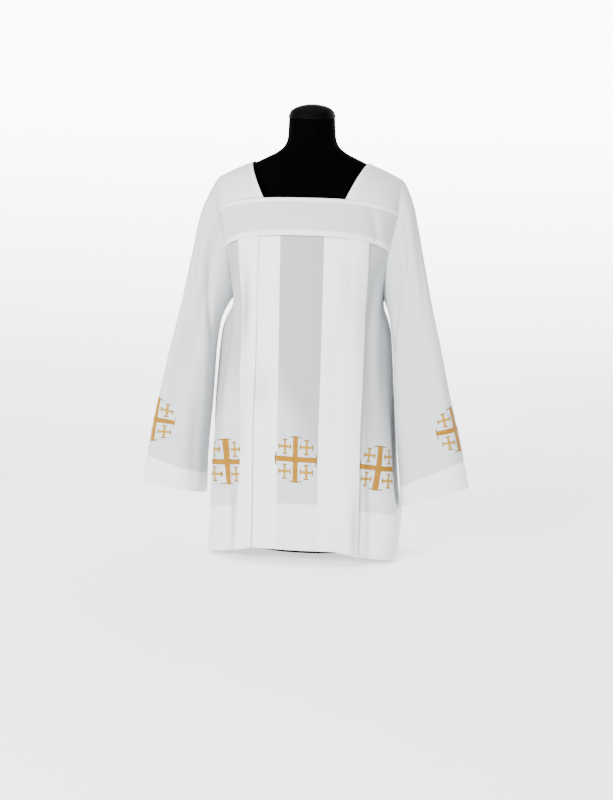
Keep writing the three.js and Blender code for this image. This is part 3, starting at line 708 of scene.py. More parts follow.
def panel(name, seam, material):
    points, backing, in_hem = panel_points(seam)
    slant = FORM_SHADE_SLANT * np.clip(points[..., 0], -FORM_SHADE_REACH, FORM_SHADE_REACH)
    lower = ease((FORM_SHADE_TOP - slant - points[..., 2]) / (FORM_SHADE_TOP - FORM_SHADE_END))
    shade = mix(backing, 1.0, FORM_SHADE_LIFT * lower)
    shade = mix(shade, 1.0, HEM_LIFT * in_hem)
    # Painted shade: each spot darkens the cloth's colour where a fold or trough would lie in shade
    for spot in PAINTED_SHADE_SPOTS:
        if spot["face"] == seam["face"]:
            beside = bell(points[..., 0] - spot["x"], spot["wide"])
            painted_spot_shade = beside * bell(points[..., 2] - spot["z"], spot["high"])
            shade = shade * (1 - spot["darker"] * painted_spot_shade)
    return cloth_sheet(name, points, flat_lengths(points), shade, in_hem, material)


BAND_COLUMNS = 120
BAND_ROWS = 34
LOWER_TAPE = 13.0
UPPER_TAPE = 8.5

# How far a band reaches past its seams, how proud its cloth, its two tapes and the groove in the lower one
# stand, and their backing; the groove's backing is lower, a painted shade in its dent
BAND_REACH = {"under": 0.8, "over": 0.2}
BAND_STANDS = {"cloth": 0.35, "lower": 0.7, "upper": 0.6, "groove": 0.45, "grooveWidth": 0.9}
BAND_BACKING = {"cloth": 0.42, "lower": 0.5, "upper": 0.45, "groove": 0.15}
TAPE_RISE = 1.5
TAPE_FALL = 2.0


def band(name, seam, material):
    face = seam["face"]
    share = np.linspace(-1, 1, BAND_COLUMNS + 1)[:, None]
    up = np.linspace(0, 1, BAND_ROWS + 1)[None, :]
    arc = -face * share * mix(ARMHOLE_ARC_LOW, ARMHOLE_ARC_TOP, up)
    low = low_seam_z(seam, share * ARMHOLE_ARC_LOW) - BAND_REACH["under"]
    high = top_seam_z(seam, share * ARMHOLE_ARC_TOP) + BAND_REACH["over"]
    z = mix(low, high, up)
    from_low = z - low
    from_top = high - z
    lower = ease(from_low / TAPE_RISE) * ease((LOWER_TAPE + TAPE_FALL / 2 - from_low) / TAPE_FALL)
    upper = ease((UPPER_TAPE + TAPE_FALL / 2 - from_top) / TAPE_FALL)
    groove = bell(from_low - LOWER_TAPE / 2, BAND_STANDS["grooveWidth"])

    def blend(parts):
        return parts["cloth"] + parts["lower"] * lower + parts["upper"] * upper - parts["groove"] * groove

    points = body_point(face, arc, z, -blend(BAND_STANDS))
    # Painted shade: the groove's lowered backing makes the colour darker in its dent
    backing = np.clip(blend(BAND_BACKING), 0, 1)
    return cloth_sheet(name, points, flat_lengths(points), backing, np.zeros_like(backing), material)


def shoulder_z(x):
    """The level of the shoulder line."""
    out = x - NECK_SHOULDER_X
    return SHOULDER_NECK_Z - SHOULDER_SLOPE * out - SHOULDER_BEND * out * out


def ridge_y(x):
    """How far back the shoulder line lies."""
    return SHOULDER_Y - SHOULDER_FORWARD * (x - NECK_SHOULDER_X)


def shoulder_point(side, across, over):
    """A point of a shoulder piece: across from neck to armhole, over from the front band to the back band."""
    across, over = np.broadcast_arrays(np.asarray(across, float), np.asarray(over, float))
    arc = mix(NECK_FRONT_ARC, ARMHOLE_ARC_TOP, across)
    edges = []
    for seam in (FRONT, BACK):
        edges.append(body_point(seam["face"], arc, top_seam_z(seam, arc)))
    edge = np.where((over < 0.5)[..., None], edges[0], edges[1])
    ridge_x = mix(NECK_SHOULDER_X, SHOULDER_TIP_X, across)
    angle = over * math.pi
    rise = np.sin(angle)
    y = ridge_y(ridge_x) + (edge[..., 1] - ridge_y(ridge_x)) * np.abs(np.cos(angle))
    x = mix(edge[..., 0], ridge_x, rise)
    z = mix(edge[..., 2], shoulder_z(ridge_x), rise)
    return np.stack([side * x, y, z], axis=-1)


SHOULDER_COLUMNS = 40
SHOULDER_ROWS = 84
SHOULDER_WIDE = 110
SHOULDER_LONG = 280
SHOULDER_SWELL = 0.8
NECK_EDGE_WIDTH = 6.0
NECK_EDGE_RISE = 0.8
SHOULDER_BACKING = 0.62
NECK_EDGE_BACKING = 0.35


def shoulder(name, side, material):
    across = np.linspace(0, 1, SHOULDER_COLUMNS + 1)[:, None]
    over = np.linspace(0, 1, SHOULDER_ROWS + 1)[None, :]
    points = shoulder_point(side, across, over)
    lift = waves(across * SHOULDER_WIDE, over * SHOULDER_LONG, 1.3 + side) * SHOULDER_SWELL
    edge = bell(across * SHOULDER_WIDE, NECK_EDGE_WIDTH)
    points[..., 2] += lift + edge * NECK_EDGE_RISE
    backing = (SHOULDER_BACKING + NECK_EDGE_BACKING * edge) * np.ones_like(over)
    if side < 0:
        points, backing = points[::-1], backing[::-1]
    return cloth_sheet(name, points, flat_lengths(points), backing, np.zeros_like(backing), material)


ARMHOLE_STEPS = 48


def half_armhole(seam):
    """The armhole on the wearer's left, from the shoulder line to the underarm, along one face."""
    t = np.linspace(0, 1, ARMHOLE_STEPS + 1)
    over = 0.5 * (1 - t) if seam["face"] < 0 else 0.5 * (1 + t)
    first = shoulder_point(1, np.ones_like(t), over)
    arc = mix(ARMHOLE_ARC_TOP, ARMHOLE_ARC_LOW, t)
    z = mix(top_seam_z(seam, ARMHOLE_ARC_TOP), low_seam_z(seam, ARMHOLE_ARC_LOW), t)
    second = body_point(seam["face"], arc, z)
    arc = mix(ARMHOLE_ARC_LOW, BAND_LENGTH[seam["face"]], t)
    third = body_point(seam["face"], arc, low_seam_z(seam, arc))
    line = np.concatenate([first, second, third])
    lengths = running_length(line)
    return line, lengths / lengths[-1]


ARMHOLES = {"front": half_armhole(FRONT), "back": half_armhole(BACK)}


def armhole_point(around):
    """A point of the armhole on the wearer's left, from its top over the front."""
    result = np.empty(np.shape(around) + (3,))
    for axis in range(3):
        front_line, front_share = ARMHOLES["front"]
        back_line, back_share = ARMHOLES["back"]
        front_value = np.interp(around * 2, front_share, front_line[:, axis])
        back_value = np.interp((1 - around) * 2, back_share, back_line[:, axis])
        result[..., axis] = np.where(around <= 0.5, front_value, back_value)
    return result


def sleeve_point(side, around, along, inward=0.0):
    """A point of a sleeve: around from the outer side over the front, along from the armhole to the cuff."""
    around, along = np.broadcast_arrays(np.asarray(around, float), np.asarray(along, float))
    around = around % 1.0
    hang = SLEEVE_HANG[side]
    ring = read_table(SLEEVE_RINGS, "along", along)
    angle = around * 2 * math.pi
    power = 2 / SLEEVE_POWER
    across = rounded(np.cos(angle), power)
    pressed = ease(along / SLEEVE_EDGE_FULL)
    flat_front = (np.cos(angle) > 0) & (np.sin(angle) > 0)
    forward_power = np.where(flat_front, mix(power, 2 / SLEEVE_EDGE_POWER, pressed), power)
    forward = rounded(np.sin(angle), forward_power)
    depth = np.where(forward > 0, ring["front"], ring["back"])
    outer = np.stack([ring["outX"], ring["y"], ring["outZ"]], axis=-1)
    inner = np.stack([ring["inX"], ring["y"], ring["inZ"]], axis=-1)
    centre = (outer + inner) / 2
    reach = (outer - inner) / 2
    spoke = reach * across[..., None]
    spoke[..., 1] -= depth * forward
    push = -inward
    for fold in SLEEVE_FOLDS:
        t = np.clip((along - fold["from"]) / (fold["to"] - fold["from"]), 0, 1)
        place = mix(fold["placeFrom"], fold["placeTo"], t)
        depth_here = fold["deep"] * np.sin(math.pi * t) ** SLEEVE_FOLD_POWER
        push = push - depth_here * bell(around - place, fold["width"])
    for crease in SLEEVE_CREASES:
        if crease["side"] == side:
            for turn in (-1, 0, 1):
                push = push + crease_push(crease, around + turn, along, SLEEVE_ROUND, SLEEVE_LENGTH)
    swell = waves(np.sin(angle) * SLEEVE_SWELL["wave"], along * SLEEVE_LENGTH, SWELL_PHASE[side])
    push = push + swell * mix(SLEEVE_SWELL["top"], SLEEVE_SWELL["cuff"], along)
    length = np.linalg.norm(spoke, axis=-1)
    point = centre + spoke * ((length + push) / length)[..., None]
    fade = ease((along - SLEEVE_HANG_FADE) / (1 - SLEEVE_HANG_FADE))
    edge = np.maximum(across, 0) ** 2 * pressed
    point[..., 0] += hang["out"] * ease(along / SLEEVE_HANG_BLEND) * (1 - fade) + hang["edgeOut"] * edge
    point[..., 1] -= SLEEVE_EDGE_FORWARD * edge
    point[..., 2] += SLEEVE_EDGE_UP * edge * along
    point[..., 2] += ring["lift"] * forward + mix(hang["innerUp"], hang["outerUp"], (1 + across) / 2) * along
    start = armhole_point(around)
    start[..., 0] += ARMHOLE_SEAM
    blend = (ease(along / ARMHOLE_BLEND) ** ARMHOLE_BLEND_POWER)[..., None]
    point = np.where((along < ARMHOLE_BLEND)[..., None], mix(start, point, blend), point)
    if side == "right":
        point[..., 0] *= -1
    return point


SLEEVE_COLUMNS = 168
SLEEVE_TOP_ROWS = 12
SLEEVE_MIDDLE_ROWS = 96
SLEEVE_HEM_ROWS = 14
SLEEVE_TOP = 0.06
SLEEVE_TOP_POWER = 1.3
SLEEVE_HEM_STEP = 0.0015
ARMHOLE_GROOVE = {"at": 7, "width": 4.5, "deep": 1.2}
ARMHOLE_EDGE = 4.0
SLEEVE_BACKING = {"cloth": 0.42, "seam": 0.5, "hem": 0.97}


def sleeve(name, side, material):
    around = np.linspace(0, 1, SLEEVE_COLUMNS + 1)[:, None]
    along = np.concatenate([
        np.linspace(0, 1, SLEEVE_TOP_ROWS + 1)[:-1] ** SLEEVE_TOP_POWER * SLEEVE_TOP,
        np.linspace(SLEEVE_TOP, SLEEVE_HEM_START - SLEEVE_HEM_STEP, SLEEVE_MIDDLE_ROWS),
        np.linspace(SLEEVE_HEM_START + SLEEVE_HEM_STEP, 1, SLEEVE_HEM_ROWS + 1),
    ])[None, :]
    stitched = bell((along - SLEEVE_HEM_START) * SLEEVE_LENGTH, STITCH_DENT_WIDTH) * STITCH_DENT
    from_groove = along * SLEEVE_LENGTH - ARMHOLE_GROOVE["at"]
    groove = bell(from_groove, ARMHOLE_GROOVE["width"]) * ARMHOLE_GROOVE["deep"]
    points = sleeve_point(side, around, along, stitched + groove)
    points[-1] = points[0]
    in_hem = (along > SLEEVE_HEM_START) + 0.0 * around
    edge = bell(along * SLEEVE_LENGTH, ARMHOLE_EDGE)
    single = SLEEVE_BACKING["cloth"] + SLEEVE_BACKING["seam"] * edge
    backing = mix(single, SLEEVE_BACKING["hem"], in_hem)
    if side == "right":
        points, backing, in_hem = points[::-1], backing[::-1], in_hem[::-1]
    return cloth_sheet(name, points, flat_lengths(points), backing, in_hem, material, closed=True)


FORM_COLUMNS = 96
FORM_ROWS = 190
CAP_STEPS = 24
CAP_SEAM = 0.3


def form_body(name, material):
    """The torso and neck of the dress form, closed at the foot and at the top of the neck."""
    shoulders = []
    for row in FORM_SHOULDER_RINGS:
        shoulders.append({
            "z": shoulder_z(row["x"]) - FORM_CLEARANCE, "halfWidth": row["x"], "front": row["front"],
            "back": row["back"], "y": 0, "tip": ridge_y(row["x"]), "tilt": 0,
        })
    rings = [dict(row, place=place) for place, row in enumerate(FORM_RINGS + shoulders + NECK_RINGS)]
    place = np.linspace(0, len(rings) - 1, FORM_ROWS + 1)
    ring = read_table(rings, "place", place)
    angle = np.linspace(0, 2 * math.pi, FORM_COLUMNS + 1)[:, None]
    power = 2 / FORM_POWER
    x = ring["halfWidth"] * rounded(np.cos(angle), power)
    deep = np.where(np.sin(angle) < 0, ring["front"], ring["back"])
    local = deep * rounded(np.sin(angle), power)
    y = ring["y"] + local + ring["tip"] * (x / ring["halfWidth"]) ** 2
    z = ring["z"] + local * math.tan(NECK_TILT) * ring["tilt"]
    points = np.stack([x, y, z], axis=-1)
    points[-1] = points[0]
    return rings_mesh(name, points, material)


def rings_mesh(name, points, material):
    """A closed body through rings of points in millimetres, columns by rows, with its two ends filled."""
    columns, rows = points.shape[:2]
    bm = bmesh.new()
    bmesh.ops.create_grid(bm, x_segments=columns - 1, y_segments=rows - 1, size=1.0)
    for vert in bm.verts:
        vert.co = to_scene(points[grid_place(vert, columns, rows)])
    bmesh.ops.remove_doubles(bm, verts=bm.verts, dist=MERGE_DISTANCE)
    rims = [edge for edge in bm.edges if edge.is_boundary]
    bmesh.ops.holes_fill(bm, edges=rims, sides=0)
    bmesh.ops.recalc_face_normals(bm, faces=bm.faces)
    for face in bm.faces:
        face.smooth = len(face.verts) == 4
    return make_object(name, bm, material)


def neck_cap(name, material):
    """The domed cap that closes the neck, spun from its profile."""
    radius, rim, edge = CAP["radius"], CAP["rim"], CAP["edge"]
    profile = [(0.0, 0.0), (radius - edge, 0.0)]
    quarter = [step / 4 * math.pi / 2 for step in range(5)]
    profile += [(radius - edge * (1 - math.sin(turn)), edge * (1 - math.cos(turn))) for turn in quarter[1:]]
    profile += [(radius - edge * (1 - math.cos(turn)), rim - edge * (1 - math.sin(turn))) for turn in quarter]
    for step in range(1, CAP_STEPS):
        turn = step / CAP_STEPS * math.pi / 2
        profile.append(((radius - edge) * math.cos(turn), rim + CAP["dome"] * math.sin(turn)))
    profile.append((0.0, rim + CAP["dome"]))
    bm = bmesh.new()
    verts = [bm.verts.new((r * MM, 0, z * MM)) for r, z in profile]
    edges = [bm.edges.new(pair) for pair in zip(verts, verts[1:])]
    bmesh.ops.spin(
        bm, geom=verts + edges, axis=(0, 0, 1), cent=(0, 0, 0), steps=FORM_COLUMNS, angle=2 * math.pi,
        use_merge=True,
    )
    bmesh.ops.remove_doubles(bm, verts=bm.verts, dist=2 * MERGE_DISTANCE)
    bmesh.ops.recalc_face_normals(bm, faces=bm.faces)
    top = NECK_RINGS[-1]
    place = Matrix.Translation(Vector((0, top["y"], top["z"] + CAP_SEAM + FOOT_LEVEL)) * MM)
    bmesh.ops.transform(bm, matrix=place @ Matrix.Rotation(NECK_TILT, 4, "X"), verts=bm.verts)
    for face in bm.faces:
        face.smooth = True
    return make_object(name, bm, material)


# Embroidery: a round Jerusalem cross. Sizes in millimetres from the middle of the emblem.
EMBLEM_WIDE = 51.0
EMBLEM_HIGH = 53.0
MAIN_BAR = 12.5
SERIF_LENGTH = 31.0
SERIF_WIDTH = 2.8
CROSSLET_AT = (27.5, 29.5)
CROSSLET_WIDE = 15.0
CROSSLET_HIGH = 16.5
CROSSLET_BAR = 5.6
CROSSLET_CAP = 12.5
CROSSLET_CAP_WIDTH = 3.0

# Satin-stitched pads: height, length of a step, lift off the cloth and how soon their ends rise
PAD_HEIGHT = 0.9
PAD_STEP = 1.6
PAD_LIFT = 0.15
PAD_END = 0.8
SERIF_STEPS = 8

# What kind of thread a pad is made of, for the material
MAIN_KIND = 0.0
SERIF_KIND = 0.5
CROSSLET_CAP_KIND = 0.75
CROSSLET_KIND = 1.0


def emblem_pads():
    """Every satin-stitched pad of the emblem: its centre line, width and kind."""
    pads = []

    def add(line, width, kind):
        pads.append({"line": line, "width": width, "kind": kind})

    def add_cross(x, y, wide, high, width, kind):
        add([(x, y - high), (x, y + high)], width, kind)
        add([(x - wide, y), (x + wide, y)], width, kind)

    add_cross(0, 0, EMBLEM_WIDE, EMBLEM_HIGH, MAIN_BAR, MAIN_KIND)
    for turn in range(4):
        sine, cosine = math.sin(turn * math.pi / 2), math.cos(turn * math.pi / 2)
        wide = EMBLEM_WIDE if turn % 2 == 0 else EMBLEM_HIGH
        arc = []
        for step in range(SERIF_STEPS + 1):
            aside = (step / SERIF_STEPS - 0.5) * SERIF_LENGTH
            bow = wide + 1.0 - aside ** 2 / (2 * wide)
            arc.append((bow * cosine - aside * sine, bow * sine + aside * cosine))
        add(arc, SERIF_WIDTH, SERIF_KIND)
    half = CROSSLET_CAP / 2
    for across in (-1, 1):
        for up in (-1, 1):
            cx, cy = across * CROSSLET_AT[0], up * CROSSLET_AT[1]
            add_cross(cx, cy, CROSSLET_WIDE, CROSSLET_HIGH, CROSSLET_BAR, CROSSLET_KIND)
            for end in (-1, 1):
                y = cy + end * CROSSLET_HIGH
                x = cx + end * CROSSLET_WIDE
                add([(cx - half, y), (cx + half, y)], CROSSLET_CAP_WIDTH, CROSSLET_CAP_KIND)
                add([(x, cy - half), (x, cy + half)], CROSSLET_CAP_WIDTH, CROSSLET_CAP_KIND)
    return pads


def satin_pad(bm, pad, surface, lean, scale, layers):
    """Adds one domed pad. surface(s, t, out) gives the point of the cloth, out millimetres proud of it."""
    line = np.array(pad["line"], float)
    lengths = running_length(line)
    along_steps = max(6, int(lengths[-1] / PAD_STEP))
    across_steps = 10 if pad["kind"] == MAIN_KIND else 6
    grid = bmesh.ops.create_grid(bm, x_segments=along_steps, y_segments=across_steps, size=1.0)
    uv_layer, kind_layer = layers
    verts = grid["verts"]
    u = np.array([(vert.co.x + 1) / 2 for vert in verts])
    v = np.array([vert.co.y for vert in verts])
    s = np.interp(u * lengths[-1], lengths, line[:, 0])
    t = np.interp(u * lengths[-1], lengths, line[:, 1])
    ahead = np.clip(u + 0.01, 0, 1) * lengths[-1]
    behind = np.clip(u - 0.01, 0, 1) * lengths[-1]
    ds = np.interp(ahead, lengths, line[:, 0]) - np.interp(behind, lengths, line[:, 0])
    dt = np.interp(ahead, lengths, line[:, 1]) - np.interp(behind, lengths, line[:, 1])
    size = np.hypot(ds, dt)
    half = pad["width"] / 2
    s = s - dt / size * v * half
    t = t + ds / size * v * half
    dome = np.sqrt(np.clip(1 - v ** 2, 0, 1))
    ends = np.clip(np.minimum(u, 1 - u) * lengths[-1] / PAD_END, 0, 1) ** 0.5
    out = PAD_HEIGHT * (0.35 + 0.1 * half) * dome * ends + PAD_LIFT
    lean_s = s * math.cos(lean) - t * math.sin(lean)
    lean_t = s * math.sin(lean) + t * math.cos(lean)
    points = surface(lean_s * scale, lean_t * scale, out)
    place = {}
    for vert, point, length, side in zip(verts, points, u * lengths[-1], v * half):
        vert.co = to_scene(point)
        vert[kind_layer] = pad["kind"]
        place[vert] = (length * MM, side * MM)
    for face in {face for vert in verts for face in vert.link_faces}:
        face.smooth = True
        for loop in face.loops:
            loop[uv_layer].uv = place[loop.vert]


def emblem(name, surface, lean, scale, material):
    bm = bmesh.new()
    layers = (bm.loops.layers.uv.new("thread"), bm.verts.layers.float.new("kind"))
    for pad in emblem_pads():
        satin_pad(bm, pad, surface, math.radians(lean), scale, layers)
    return make_object(name, bm, material)


def body_surface(seam, centre_arc, centre_z):
    """The cloth around an emblem on the front panel, under the pleats where it reaches them."""
    face = seam["face"]
    in_middle = abs(centre_arc) < PLEAT_UNIT
    stretch = (plan_length(centre_z, face) - SIDE_START) / (BAND_LENGTH[face] - SIDE_START)

    def surface(s, t, out):
        arc = centre_arc + s / (1.0 if in_middle else stretch)
        z = centre_z + t
        layer = np.full_like(arc, MIDDLE_LAYER) if in_middle else side_sheet_layer(arc, face)
        inward = layer * layer_depth(seam, arc, z)
        drift = np.sign(arc) * pleat_drift(arc, z)
        return body_point(face, arc + drift, z, inward - out - CLOTH_WALL / 2)

    return surface


def sleeve_surface(side, centre_around, centre_along):
    """The cloth around an emblem on a sleeve."""
    step = 0.05
    pair = np.array([centre_along, centre_along + step])
    centre, below = sleeve_point(side, centre_around, pair)
    speed = np.linalg.norm(below - centre) / step
    down = (below - centre) / (step * speed)
    turn = np.linspace(-0.25, 0.25, 401)
    level = np.full_like(turn, centre_along)
    for _ in range(4):
        ring = sleeve_point(side, turn, level)
        level = level - (ring - centre) @ down / speed
    lengths = running_length(ring)
    lengths -= np.interp(centre_around, turn, lengths)
    sign = 1 if side == "right" else -1

    def surface(s, t, out):
        around = np.interp(sign * s, lengths, turn)
        along = np.interp(around, turn, level) - t / speed
        return sleeve_point(side, around, along, -out - CLOTH_WALL / 2)

    return surface


# Stitches
STITCH_LENGTH = 2.4
STITCH_GAP = 1.0
STITCH_RADIUS = 0.28
STITCH_PROUD = 0.1
HEM_STITCH_DROP = 2.2
BAND_STITCHES = {"aboveSeam": 1.6, "insideTape": 1.5, "proud": 1.0}
SLEEVE_STITCHES_PAST_HEM = 0.004
LINE_POINTS = 60
LONG_LINE_POINTS = 200

# What shows of the hem under the pleats: along the cloth, and how many layers behind the face
SHOWN_HEM = make_table(
    "start end layer",
    (-104, 104, 2.0),
    (105, 155, -0.15),
    (-155, -105, -0.15),
)


def stitch_line(bm, points):
    """Adds a row of small stitches along a line of points on the cloth."""
    lengths = running_length(points)
    count = int(lengths[-1] / (STITCH_LENGTH + STITCH_GAP))

    def point_at(distance):
        return Vector([np.interp(distance, lengths, points[:, axis]) for axis in range(3)])

    for k in range(count):
        start = (k + 0.5) * lengths[-1] / count - STITCH_LENGTH / 2
        ends = [point_at(start), point_at(start + STITCH_LENGTH)]
        middle = (ends[0] + ends[1]) / 2
        middle.z += FOOT_LEVEL
        turn = (ends[1] - ends[0]).to_track_quat("Z", "Y").to_matrix().to_4x4()
        matrix = Matrix.Translation(middle * MM) @ turn
        bmesh.ops.create_cone(
            bm, cap_ends=True, segments=5, radius1=STITCH_RADIUS * MM, radius2=STITCH_RADIUS * MM,
            depth=STITCH_LENGTH * MM, matrix=matrix,
        )


def stitches(name, lines, material):
    bm = bmesh.new()
    for line in lines:
        stitch_line(bm, line)
    return make_object(name, bm, material)


def panel_hem_line(seam):
    """The stitches at the top of the hem, on what shows between the pleat edges and the side seam."""
    face = seam["face"]
    lines = []

    def add(arc, layer):
        z = hem_z(seam, arc) + BODY_HEM_DEPTH - HEM_STITCH_DROP
        inward = layer * layer_depth(seam, arc, z) - HEM_WALL / 2 - STITCH_PROUD
        lines.append(body_point(face, arc + np.sign(arc) * pleat_drift(arc, z), z, inward))

    for span in SHOWN_HEM:
        add(np.linspace(span["start"], span["end"], LINE_POINTS), span["layer"])
    for side in (-1, 1):
        arc = side * np.linspace(SIDE_START, BAND_LENGTH[face] - 1, LINE_POINTS)
        add(arc, side_sheet_layer(arc, face))
    return lines


def band_lines(seam):
    """The stitches along both edges of the lower tape and along the lower edge of the upper tape."""
    share = np.linspace(-1, 1, LONG_LINE_POINTS)
    low = low_seam_z(seam, share * ARMHOLE_ARC_LOW)
    high = top_seam_z(seam, share * ARMHOLE_ARC_TOP)
    rows = [
        (low + BAND_STITCHES["aboveSeam"], ARMHOLE_ARC_LOW),
        (low + LOWER_TAPE - BAND_STITCHES["insideTape"], ARMHOLE_ARC_LOW),
        (high - UPPER_TAPE + BAND_STITCHES["insideTape"], ARMHOLE_ARC_TOP),
    ]
    inward = -BAND_STITCHES["proud"] - CLOTH_WALL / 2
    return [body_point(seam["face"], share * arc, z, inward) for z, arc in rows]


def sleeve_lines(side):
    """The stitches at the top of a sleeve's hem."""
    around = np.linspace(0, 1, LONG_LINE_POINTS)
    along = np.full_like(around, SLEEVE_HEM_START + SLEEVE_STITCHES_PAST_HEM)
    return [sleeve_point(side, around, along, -HEM_WALL / 2 - STITCH_PROUD)]


# Finishes
WEAVE_PER_METRE = 2600.0
STRANDS_PER_METRE = 2200.0
THIN_WHITE = (0.34, 0.362, 0.382, 1)
THICK_WHITE = (0.85, 0.87, 0.88, 1)
BAR_GOLD = ((0.27, 0.112, 0.0, 1), (0.42, 0.2, 0.0, 1))
CROSSLET_GOLD = ((0.38, 0.19, 0.002, 1), (0.52, 0.29, 0.008, 1))
OLD_GOLD = (0.17, 0.085, 0.006, 1)
THREAD_WHITE = ((0.8, 0.81, 0.82, 1), (0.9, 0.9, 0.9, 1))
DEEP_BLACK = (0.0003, 0.0003, 0.0004, 1)

# Between the kinds of the serifs and the crosslets' caps, which are both old gold
CAP_KINDS_MIDDLE = 0.62


def node_group(name, rates):
    """An empty node group from a vector and some rates to a height and a tone."""
    group = bpy.data.node_groups.new(name, "ShaderNodeTree")
    group.interface.new_socket(name="Vector", in_out="INPUT", socket_type="NodeSocketVector")
    for rate, value in rates.items():
        socket = group.interface.new_socket(name=rate, in_out="INPUT", socket_type="NodeSocketFloat")
        socket.default_value = value
    for result in ("Height", "Tone"):
        group.interface.new_socket(name=result, in_out="OUTPUT", socket_type="NodeSocketFloat")
    return group, group.nodes.new("NodeGroupInput").outputs, group.nodes.new("NodeGroupOutput")


def set_inputs(tree, node, inputs):
    """Sets a node's inputs to numbers and colours, or links them where they are other nodes' outputs."""
    for name, value in inputs.items():
        if isinstance(value, bpy.types.NodeSocket):
            tree.links.new(value, node.inputs[name])
        else:
            node.inputs[name].default_value = value


def new_node(tree, kind, inputs):
    node = tree.nodes.new(kind)
    set_inputs(tree, node, inputs)
    return node


def math_node(tree, operation, *values):
    node = tree.nodes.new("ShaderNodeMath")
    node.operation = operation
    set_inputs(tree, node, dict(enumerate(values)))
    return node.outputs[0]


def mix_colour(tree, amount, first, second, kind="MIX"):
    node = tree.nodes.new("ShaderNodeMix")
    node.data_type = "RGBA"
    node.blend_type = kind
    set_inputs(tree, node, {0: amount, 6: first, 7: second})
    return node.outputs[2]


def ramp(tree, value, low, high, new_low, new_high):
    limits = {"From Min": low, "From Max": high, "To Min": new_low, "To Max": new_high}
    return new_node(tree, "ShaderNodeMapRange", {"Value": value, **limits}).outputs[0]


def noise(tree, vector, scale, detail=2.0):
    inputs = {"Vector": vector, "Scale": scale, "Detail": detail}
    return new_node(tree, "ShaderNodeTexNoise", inputs).outputs["Fac"]


def split_place(tree, vector):
    return new_node(tree, "ShaderNodeSeparateXYZ", {0: vector}).outputs


def make_woven_grain():
    """Plain weave on flat cloth: fine threads both ways, uneven, with a soft mottle of tone."""
    rates = {"Threads per metre": WEAVE_PER_METRE, "Unevenness": 0.4}
    group, start, end = node_group("woven grain", rates)
    split = split_place(group, start["Vector"])
    turns = math_node(group, "MULTIPLY", start["Threads per metre"], math.pi)
    warp = math_node(group, "SINE", math_node(group, "MULTIPLY", split["X"], turns))
    weft = math_node(group, "SINE", math_node(group, "MULTIPLY", split["Y"], turns))
    weave = math_node(group, "MULTIPLY", warp, weft)
    stretch = new_node(group, "ShaderNodeMapping", {"Vector": start["Vector"], "Scale": (1.0, 6.0, 1.0)})
    slub = noise(group, stretch.outputs[0], 90.0, 3.0)
    mottle = noise(group, start["Vector"], 14.0)
    uneven = math_node(group, "MULTIPLY", slub, start["Unevenness"])
    height = math_node(group, "ADD", math_node(group, "MULTIPLY", weave, 0.3), uneven)
    soft = math_node(group, "MULTIPLY", mottle, 0.6)
    fine = math_node(group, "MULTIPLY", slub, 0.4)
    set_inputs(group, end, {"Height": height, "Tone": math_node(group, "ADD", soft, fine)})
    return group


def make_strands():
    """Strands of thread that run across a stitched bar, with a slightly different tone each."""
    group, start, end = node_group("thread strands", {"Strands per metre": STRANDS_PER_METRE})
    split = split_place(group, start["Vector"])
    place = math_node(group, "MULTIPLY", split["X"], start["Strands per metre"])
    wave = math_node(group, "SINE", math_node(group, "MULTIPLY", place, math.pi))
    random = group.nodes.new("ShaderNodeTexWhiteNoise")
    random.noise_dimensions = "1D"
    set_inputs(group, random, {"W": math_node(group, "FLOOR", place)})
    set_inputs(group, end, {"Height": math_node(group, "ABSOLUTE", wave), "Tone": random.outputs["Value"]})
    return group


WOVEN_GRAIN = make_woven_grain()
STRANDS = make_strands()


def start_material(name):
    material = bpy.data.materials.new(name)
    material.use_nodes = True
    tree = material.node_tree
    return material, tree, tree.nodes["Principled BSDF"]


def uv_place(tree, name):
    node = tree.nodes.new("ShaderNodeUVMap")
    node.uv_map = name
    return node.outputs[0]


def object_place(tree):
    return tree.nodes.new("ShaderNodeTexCoord").outputs["Object"]


def mesh_value(tree, name):
    """A value that the mesh itself holds at every point."""
    node = tree.nodes.new("ShaderNodeAttribute")
    node.attribute_name = name
    return node.outputs["Fac"]


def group_outputs(tree, group, vector):
    node = tree.nodes.new("ShaderNodeGroup")
    node.node_tree = group
    set_inputs(tree, node, {"Vector": vector})
    return node.outputs


def bumps(tree, height, strength, distance):
    inputs = {"Height": height, "Strength": strength, "Distance": distance}
    return new_node(tree, "ShaderNodeBump", inputs).outputs[0]


def white_cloth():
    """Plain-woven white cloth, greyer where little cloth lies behind it and the black form shows through, and
    darker where painted shade lies.
    """
    material, tree, shader = start_material("white cloth")
    weave = group_outputs(tree, WOVEN_GRAIN, uv_place(tree, "flat"))
    white = mix_colour(tree, mesh_value(tree, "backing"), THIN_WHITE, THICK_WHITE)
    tone = ramp(tree, weave["Tone"], 0.3, 0.7, 0.965, 1.0)
    set_inputs(tree, shader, {
        "Base Color": mix_colour(tree, 1.0, white, tone, "MULTIPLY"),
        "Roughness": ramp(tree, weave["Tone"], 0.3, 0.7, 0.78, 0.9),
        "Normal": bumps(tree, weave["Height"], 0.35, 0.0002),
        "Specular IOR Level": 0.25,
        "Sheen Weight": 0.12,
        "Sheen Roughness": 0.5,
    })
    return material


